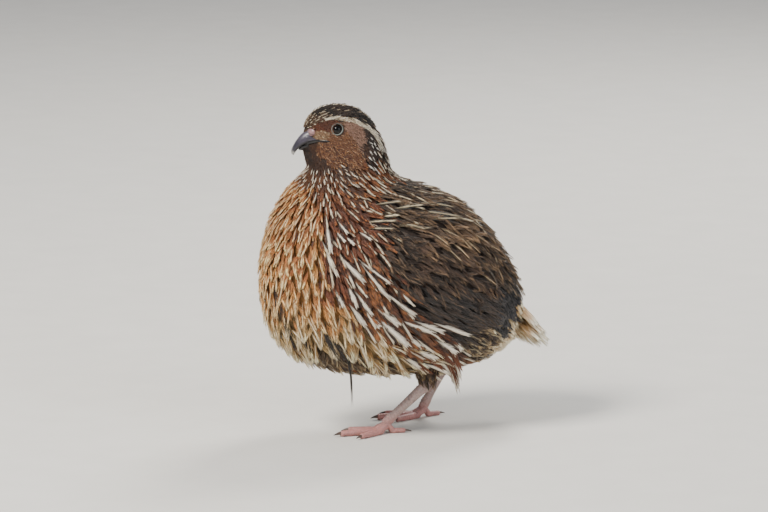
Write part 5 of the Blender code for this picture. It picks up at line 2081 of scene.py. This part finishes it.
@dataclass
class Leg:
    """One leg: the feathered thigh, the scaly shank, the toes and the claws.

    Args:
        side: 1 on the left and -1 on the right.
        shift: from the stations' axes to the part's frame.
        joints: y and z of the foot's joint, the hock and a point inside the body.
        across: how far the leg stands from the bird's middle.
        scute: from scute to scute down the shank.
        toe_scute: from scute to scute along a toe.
        narrow: the shank's width as a share of its depth.
        tufts: small feathers on the thigh.
    """

    side: int
    shift: np.ndarray
    joints: tuple
    across: float = 0.0150
    scute: float = 0.00135
    toe_scute: float = 0.00125
    narrow: float = 0.74
    tufts: int = 150

    toes = (
        Toe("inner", -24.0, 15.0 * MM, 1.8 * MM),
        Toe("middle", 2.0, 20.5 * MM, 1.9 * MM),
        Toe("outer", 30.0, 15.5 * MM, 1.7 * MM),
        Toe("hind", 168.0, 6.2 * MM, 1.4 * MM),
    )
    # Radii in millimetres: of the shank from the foot up over the hock, and of the thigh's
    # flesh from the body down.
    shank_radii = (2.2, 2.5, 2.1, 2.15, 2.6, 3.1, 2.9, 2.6)
    thigh_radii = (7.5, 8.0, 6.0, 3.6)
    # The claw's radii from its root to its tip, as shares of the toe's.
    claw_shape = (0.62, 0.60, 0.50, 0.36, 0.22, 0.06)

    @property
    def word(self) -> str:
        """The side's name."""
        return "left" if self.side > 0 else "right"

    def spots(self) -> list[np.ndarray]:
        """Foot's joint, hock and hip in the part's frame."""
        return [np.array((self.across * self.side, y, z)) + self.shift for y, z in self.joints]

    def scutes(self, step: float, depth: float) -> Callable:
        """Relief of broad scutes in front and small scales behind.

        Args:
            step: from scute to scute.
            depth: how far each stands out at its lower edge.

        Returns:
            A function of angle and length along.
        """

        def relief(angle: np.ndarray, far: np.ndarray) -> np.ndarray:
            front = fade(np.sin(angle), -0.25, 0.15)
            saw = (far / step + 0.25 * np.sign(np.cos(angle)) * (np.sin(angle) < 0.8)) % 1.0
            plate = depth * (saw**2 - fade(saw, 0.86, 1.0))
            beads = depth * 0.5 * np.sin(far / step * 4 * math.pi) * np.sin(angle * 7)
            return plate * front + beads * (1 - front)

        return relief

    def build(self, scales: bpy.types.Material, horn: bpy.types.Material) -> None:
        """Builds the shank, the foot and the claws.

        Args:
            scales: finish of the scaly skin.
            horn: finish of the claws.
        """
        heel, hock, hip = self.spots()
        up = unit(hock - heel)
        rise = unit(hip - hock)
        low = [heel + up * step for step in (-0.001, 0.003, 0.0062)]
        high = [heel + (hock - heel) * 0.45, heel + (hock - heel) * 0.8, hock - up * 0.0012]
        path = np.array([*low, *high, hock + rise * 0.004, hock + rise * 0.008])
        radii = np.array(self.shank_radii) * MM
        relief = self.scutes(self.scute, 0.00036)
        shank = Loft.tube(f"scaly_shank_{self.word}", path, radii, 180, relief, narrow=self.narrow)
        self.colour(shank, scales, f"shank_{self.word}", heel)
        toes = []
        for one in self.toes:
            toes.append(self.toe(one, heel))
            self.claw(one, heel, horn)
        foot = toes[0]
        with bpy.context.temp_override(active_object=foot, selected_editable_objects=toes):
            bpy.ops.object.join()
        foot.name = f"scaly_foot_{self.word}"
        self.colour(foot, scales, f"foot_{self.word}", heel)
        LOG.info("leg built: %s", self.word)

    def ahead(self, degrees: float) -> np.ndarray:
        """The direction of a toe on the floor."""
        angle = math.radians(degrees) * self.side
        return np.array((math.sin(angle), -math.cos(angle), 0.0))

    def toe(self, one: Toe, heel: np.ndarray) -> bpy.types.Object:
        """One toe with its pads below and scutes above.

        Args:
            one: the toe.
            heel: the foot's joint.

        Returns:
            The object.
        """
        ahead = self.ahead(one.degrees)
        start = heel - np.array((0.0, 0.0, 0.0004 if one.hind else 0.0012))
        flat = np.array((heel[0], heel[1], one.radius * one.HEIGHT))
        knuckle = flat + ahead * (0.0035 if one.hind else 0.0055)
        tip = flat + ahead * (one.length + 0.0035)
        slim = one.radius * one.SLIM
        shares = (0.0, 0.25, 0.5, 0.75, 1.0)
        middle = [knuckle + (tip - knuckle) * k for k in shares]
        path = np.array([start, start * 0.45 + knuckle * 0.55, *middle])
        thin = [one.radius + (slim - one.radius) * k for k in shares]
        radii = np.array([one.radius * 1.15, one.radius * 1.1, *thin])
        base = self.scutes(self.toe_scute, 0.00018)

        def relief(angle: np.ndarray, far: np.ndarray) -> np.ndarray:
            below = fade(-np.sin(angle), 0.2, 0.9)
            pads = 0.00020 * np.cos(2 * math.pi * far / 0.0048) * below
            return base(angle, far) + pads

        rings = 40 if one.hind else 110
        return Loft.tube(f"toe_{self.word}_{one.label}", path, radii, rings, relief, floor=0.0)

    def claw(self, one: Toe, heel: np.ndarray, horn: bpy.types.Material) -> None:
        """One short curved claw.

        Args:
            one: its toe.
            heel: the foot's joint.
            horn: finish of the claw.
        """
        ahead = self.ahead(one.degrees)
        slim = one.radius * one.SLIM
        flat = np.array((heel[0], heel[1], one.radius * one.HEIGHT))
        start = flat + ahead * (one.length + 0.0026)
        shares = np.linspace(0, 1, 6)[:, None]
        drop = np.array((0.0, 0.0, -0.0008))
        path = start + ahead * 0.0043 * shares + drop * shares**2 + np.array((0, 0, slim * 0.2))
        radii = slim * np.array(self.claw_shape)
        name = f"horn_claw_{self.word}_{one.label}"
        item = Loft.tube(name, path, radii, 24, smooth, floor=0.0001, rounds=20)
        far = np.linalg.norm(corners_of(item) - start, axis=1)
        colour = toward(linear("5d4a40"), "2b2220", fade(far, 0.0005, 0.004))
        dress(item, "claw_horn", horn, colour, f"claw_{self.word}_{one.label}")

    def colour(
        self, item: bpy.types.Object, finish: bpy.types.Material, node_name: str, heel: np.ndarray
    ) -> None:
        """Tints scaly skin: pinker on the toes, greyer higher up, with dark specks.

        Args:
            item: the piece.
            finish: its material.
            node_name: the node that it replaces.
            heel: the foot's joint.
        """
        places = corners_of(item)
        colour = toward(linear("ad7973"), "a38c85", fade(places[:, 2], 0.002, 0.012))
        draw = np.random.default_rng(SEED + self.side)
        specks = heel + draw.uniform((-0.012, -0.024, 0.0), (0.012, 0.02, 0.026), (160, 3))
        near = np.min(np.linalg.norm(places[:, None] - specks[None], axis=2), axis=1)
        colour = colour * (1 - 0.45 * fade(0.0011 - near, 0.0, 0.0008)[:, None])
        dress(item, "leg_skin", finish, colour, node_name)

    def thigh(self) -> bpy.types.Object:
        """Builds the flesh of the thigh, to be joined to the skin.

        Returns:
            The object.
        """
        _, hock, hip = self.spots()
        end = hock + (hip - hock) * 0.10
        path = np.array([hip + (hip - end) * 0.2, hip, hip * 0.5 + end * 0.5, end])
        radii = np.array(self.thigh_radii) * MM
        return Loft.tube(f"thigh_core_{self.word}", path, radii, 20, smooth, rounds=28)

    def thigh_feathers(self, draw: np.random.Generator) -> Quills:
        """Small feathers that cover the thigh down over the hock.

        Args:
            draw: the source of random values.

        Returns:
            Their shafts.
        """
        _, hock, hip = self.spots()
        down = unit(hock - hip)
        wide = np.array((1.0, 0.0, 0.0))
        tall = np.cross(down, wide)
        count = self.tufts
        share = draw.uniform(-0.1, 0.95, count)
        angle = draw.uniform(0, 2 * math.pi, count)
        out = wide * np.cos(angle)[:, None] + tall * np.sin(angle)[:, None]
        radius = (7.6 - 3.8 * share) * MM
        start = hip + (hock - hip) * share[:, None] * 0.92 + out * radius[:, None]
        length = draw.uniform(5.0, 7.5, count) * MM
        part = np.linspace(0, 1, PATH_STEPS)[None, :, None]
        lean = down[None] - out * 0.22 + draw.normal(0, 0.12, (count, 3))
        path = start[:, None] + unit(lean)[:, None] * part * length[:, None, None]
        path += out[:, None] * (0.6 * MM) * np.sin(part * math.pi)
        root = np.stack((angle / (2 * math.pi), 0.9 + 0.05 * share), 1)
        up = np.repeat(out[:, None], PATH_STEPS, 1)
        width = draw.uniform(2.0, 2.8, count) * MM
        return Plumage.framed(path, up, length, width, root, draw.random(count), np.zeros(count))


class Studio:
    """The floor, the lights and the camera."""

    def __init__(self, shift: np.ndarray) -> None:
        """Keeps where the part's frame stands from the stations' axes."""
        self.shift = Vector(shift)

    def floor(self) -> None:
        """A wide pale floor, of matt painted board."""
        bm = bmesh.new()
        bmesh.ops.create_grid(bm, x_segments=2, y_segments=2, size=6.0)
        item = object_of(bm, "studio_floor")
        made = bpy.data.materials.new("painted_board")
        made.use_nodes = True
        tree = made.node_tree
        shader = tree.nodes["Principled BSDF"]
        shader.inputs["Roughness"].default_value = 0.85
        place = node(tree, "ShaderNodeTexCoord").outputs["Object"]
        noise = node(tree, "ShaderNodeTexNoise", {"Scale": 40.0, "Detail": 4.0}, {"Vector": place})
        ramp = node(tree, "ShaderNodeValToRGB", links={"Fac": noise.outputs["Fac"]})
        ramp.color_ramp.elements[0].color = (*linear("d2cfc8"), 1)
        ramp.color_ramp.elements[1].color = (*linear("dcd9d2"), 1)
        tree.links.new(ramp.outputs["Color"], shader.inputs["Base Color"])
        item.data.materials.append(made)

    def lights(self) -> None:
        """A soft key from the front left, a fill and a light from behind."""
        world = bpy.data.worlds.new("studio")
        world.use_nodes = True
        world.node_tree.nodes["Background"].inputs["Color"].default_value = (0.86, 0.90, 1.0, 1.0)
        world.node_tree.nodes["Background"].inputs["Strength"].default_value = 0.40
        bpy.context.scene.world = world
        for name, place, size, power, warmth in (
            ("key", (0.35, -1.05, 1.25), 0.5, 42.0, (1.0, 0.96, 0.90)),
            ("fill", (1.3, 0.7, 0.7), 1.0, 11.0, (0.92, 0.96, 1.0)),
            ("back", (-0.8, 0.8, 1.1), 0.5, 20.0, (1.0, 0.98, 0.94)),
        ):
            lamp = bpy.data.lights.new(name, "AREA")
            lamp.size = size
            lamp.energy = power
            lamp.color = warmth
            item = bpy.data.objects.new(name, lamp)
            item.location = place
            aim = Vector((0, 0, VIEW_AIM_HEIGHT)) - item.location
            item.rotation_euler = aim.to_track_quat("-Z", "Y").to_euler()
            bpy.context.scene.collection.objects.link(item)

    def camera(self) -> None:
        """The camera at the photo's angle."""
        lens = bpy.data.cameras.new("camera")
        lens.sensor_width = SENSOR
        lens.lens = SENSOR * VIEW_DISTANCE / VIEW_WIDTH
        lens.clip_start = 0.05
        item = bpy.data.objects.new("camera", lens)
        away = Vector(
            (
                math.sin(VIEW_TURN) * math.cos(VIEW_RISE),
                -math.cos(VIEW_TURN) * math.cos(VIEW_RISE),
                math.sin(VIEW_RISE),
            )
        )
        item.location = Vector((0, 0, VIEW_AIM_HEIGHT)) + self.shift + away * VIEW_DISTANCE
        item.rotation_euler = (-away).to_track_quat("-Z", "Y").to_euler()
        bpy.context.scene.collection.objects.link(item)
        bpy.context.scene.camera = item


# The coat's pieces: name, slot and tracts.
COAT = (
    ("crown_coat", "head_plumage", (Tract.FOREHEAD, Tract.CROWN, Tract.BROW)),
    (
        "face_coat",
        "head_plumage",
        (Tract.MASK, Tract.LORE, Tract.CHEEK, Tract.EAR, Tract.THROAT, Tract.CHAIN),
    ),
    ("neck_coat", "head_plumage", (Tract.NAPE, Tract.COLLAR, Tract.NECK)),
    ("breast_coat", "breast_plumage", (Tract.CHEST, Tract.SIDE, Tract.BREAST)),
    ("belly_coat", "pale_plumage", (Tract.HEM, Tract.BELLY, Tract.STRAY, Tract.THIGH)),
    ("flank_coat", "breast_plumage", (Tract.FLANK, Tract.BOLD)),
    ("mantle_coat", "wing_plumage", (Tract.MANTLE, Tract.SCAPULAR, Tract.BACK, Tract.RUMP)),
    ("wing_coat", "wing_plumage", (Tract.WING, Tract.FLIGHT)),
    ("vent_coat", "wing_plumage", (Tract.VENT,)),
    ("tail_coat", "pale_plumage", (Tract.TAIL, Tract.COVERT, Tract.UNDERTAIL)),
)
# Joints of each leg: y and z of the foot's joint, the hock and a point inside the body.
LEFT_JOINTS = ((-0.0045, 0.0052), (0.0175, 0.0235), (0.0150, 0.0400))
RIGHT_JOINTS = ((0.0260, 0.0052), (0.0385, 0.0270), (0.0330, 0.0430))
# Where the lower bill ends before the head is turned.
LOWER_BILL_TIP_Y = -0.0430


def find_shift() -> np.ndarray:
    """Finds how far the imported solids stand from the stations' axes, by the lower bill's tip.

    Returns:
        The shift.
    """
    ahead = LOWER_BILL_TIP_Y - NECK_AXIS_Y
    turned = (-math.sin(HEAD_TURN) * ahead, math.cos(HEAD_TURN) * ahead + NECK_AXIS_Y)
    low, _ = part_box("bill_lower")
    corners = [vert.co for vert in bpy.data.objects["bill_lower"].data.vertices]
    corner = min(corners, key=lambda co: co.y)
    LOG.info("bill's tip at %.4f %.4f", corner.x, low.y)
    return np.array((corner.x - turned[0], corner.y - turned[1], 0.0))


def find_eyes(form: Form) -> list[Eye]:
    """Finds the eyes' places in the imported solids, and which way the face looks there.

    Args:
        form: the form that they sit in.

    Returns:
        The left eye and the right one.
    """
    points, _, _, outs = form.frames(*grid(np.linspace(0, 2 * math.pi, 240), np.linspace(1, 7, 120)))
    eyes = []
    for side in ("left", "right"):
        low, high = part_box(f"eye_{side}")
        centre = (low + high) / 2
        nearest = np.linalg.norm(points - np.array(centre), axis=1).argmin()
        eyes.append(Eye(side, centre, Vector(outs[nearest])))
    return eyes


def grow_coat(plumage: Plumage, tail: Tail, legs: list[Leg]) -> dict[Tract, list[Blades]]:
    """Grows every feather of the bird.

    Args:
        plumage: where feathers are rooted and how they lie.
        tail: the tail, with feathers of its own.
        legs: both legs, with feathers on the thighs.

    Returns:
        The blades of each tract.
    """
    u, v, nature, kind, streak = plumage.roots()
    LOG.info("%d feathers rooted", len(u))
    shafts = tail.feathers(plumage.draw)
    blades = {}
    for number, tract in enumerate(Tract):
        plume = PLUMES[tract]
        grower = Feathers(plume, plumage.draw)
        here = kind == number
        batches = []
        if here.any():
            batches.append(plumage.trace(u[here], v[here], nature[here], plume, streak[here]))
        if tract in BOLD:
            batches.append(plumage.trace(plume=plume, **plumage.bold(BOLD[tract])))
        if tract in shafts:
            batches.append(shafts[tract])
        if tract is Tract.THIGH:
            batches += [leg.thigh_feathers(plumage.draw) for leg in legs]
        blades[tract] = [grower.grow(batch) for batch in batches]
        LOG.info("%s: %d feathers", tract.value, sum(len(batch.path) for batch in batches))
    return blades


def main() -> None:
    """Builds the bird's looks in order."""
    logging.basicConfig(level=logging.INFO, format="%(message)s")
    for old in list(bpy.data.objects):
        bpy.data.objects.remove(old)
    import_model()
    shift = find_shift()
    form = Form(shift)
    studio = Studio(shift)
    studio.camera()

    feather, down, cornea = FEATHER.make(), DOWN.make(), CORNEA.make()
    lid, horn, scales = LID.make(), HORN.make(), SCALES.make()
    eyes = find_eyes(form)
    for eye in eyes:
        eye.ball(cornea)
        eye.rim(lid)
    LOG.info("eyes built")
    Bill(form).build(horn)

    plumage = Plumage(form, [eye.centre for eye in eyes])
    tail = Tail(form)
    legs = [Leg(1, shift, LEFT_JOINTS), Leg(-1, shift, RIGHT_JOINTS)]
    Skin(form).build(plumage, [tail.stump(), *[leg.thigh() for leg in legs]], down)
    for leg in legs:
        leg.build(scales, horn)

    blades = grow_coat(plumage, tail, legs)
    for name, slot, tracts in COAT:
        rings = len(PLUMES[tracts[0]].stations) - 1
        parts = [one for tract in tracts for one in blades[tract]]
        made = plumage.piece(name, slot, parts, rings, feather)
        if name == "belly_coat":
            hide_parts("thigh_left", "thigh_right")

    studio.floor()
    studio.lights()


if __name__ == "__main__":
    main()
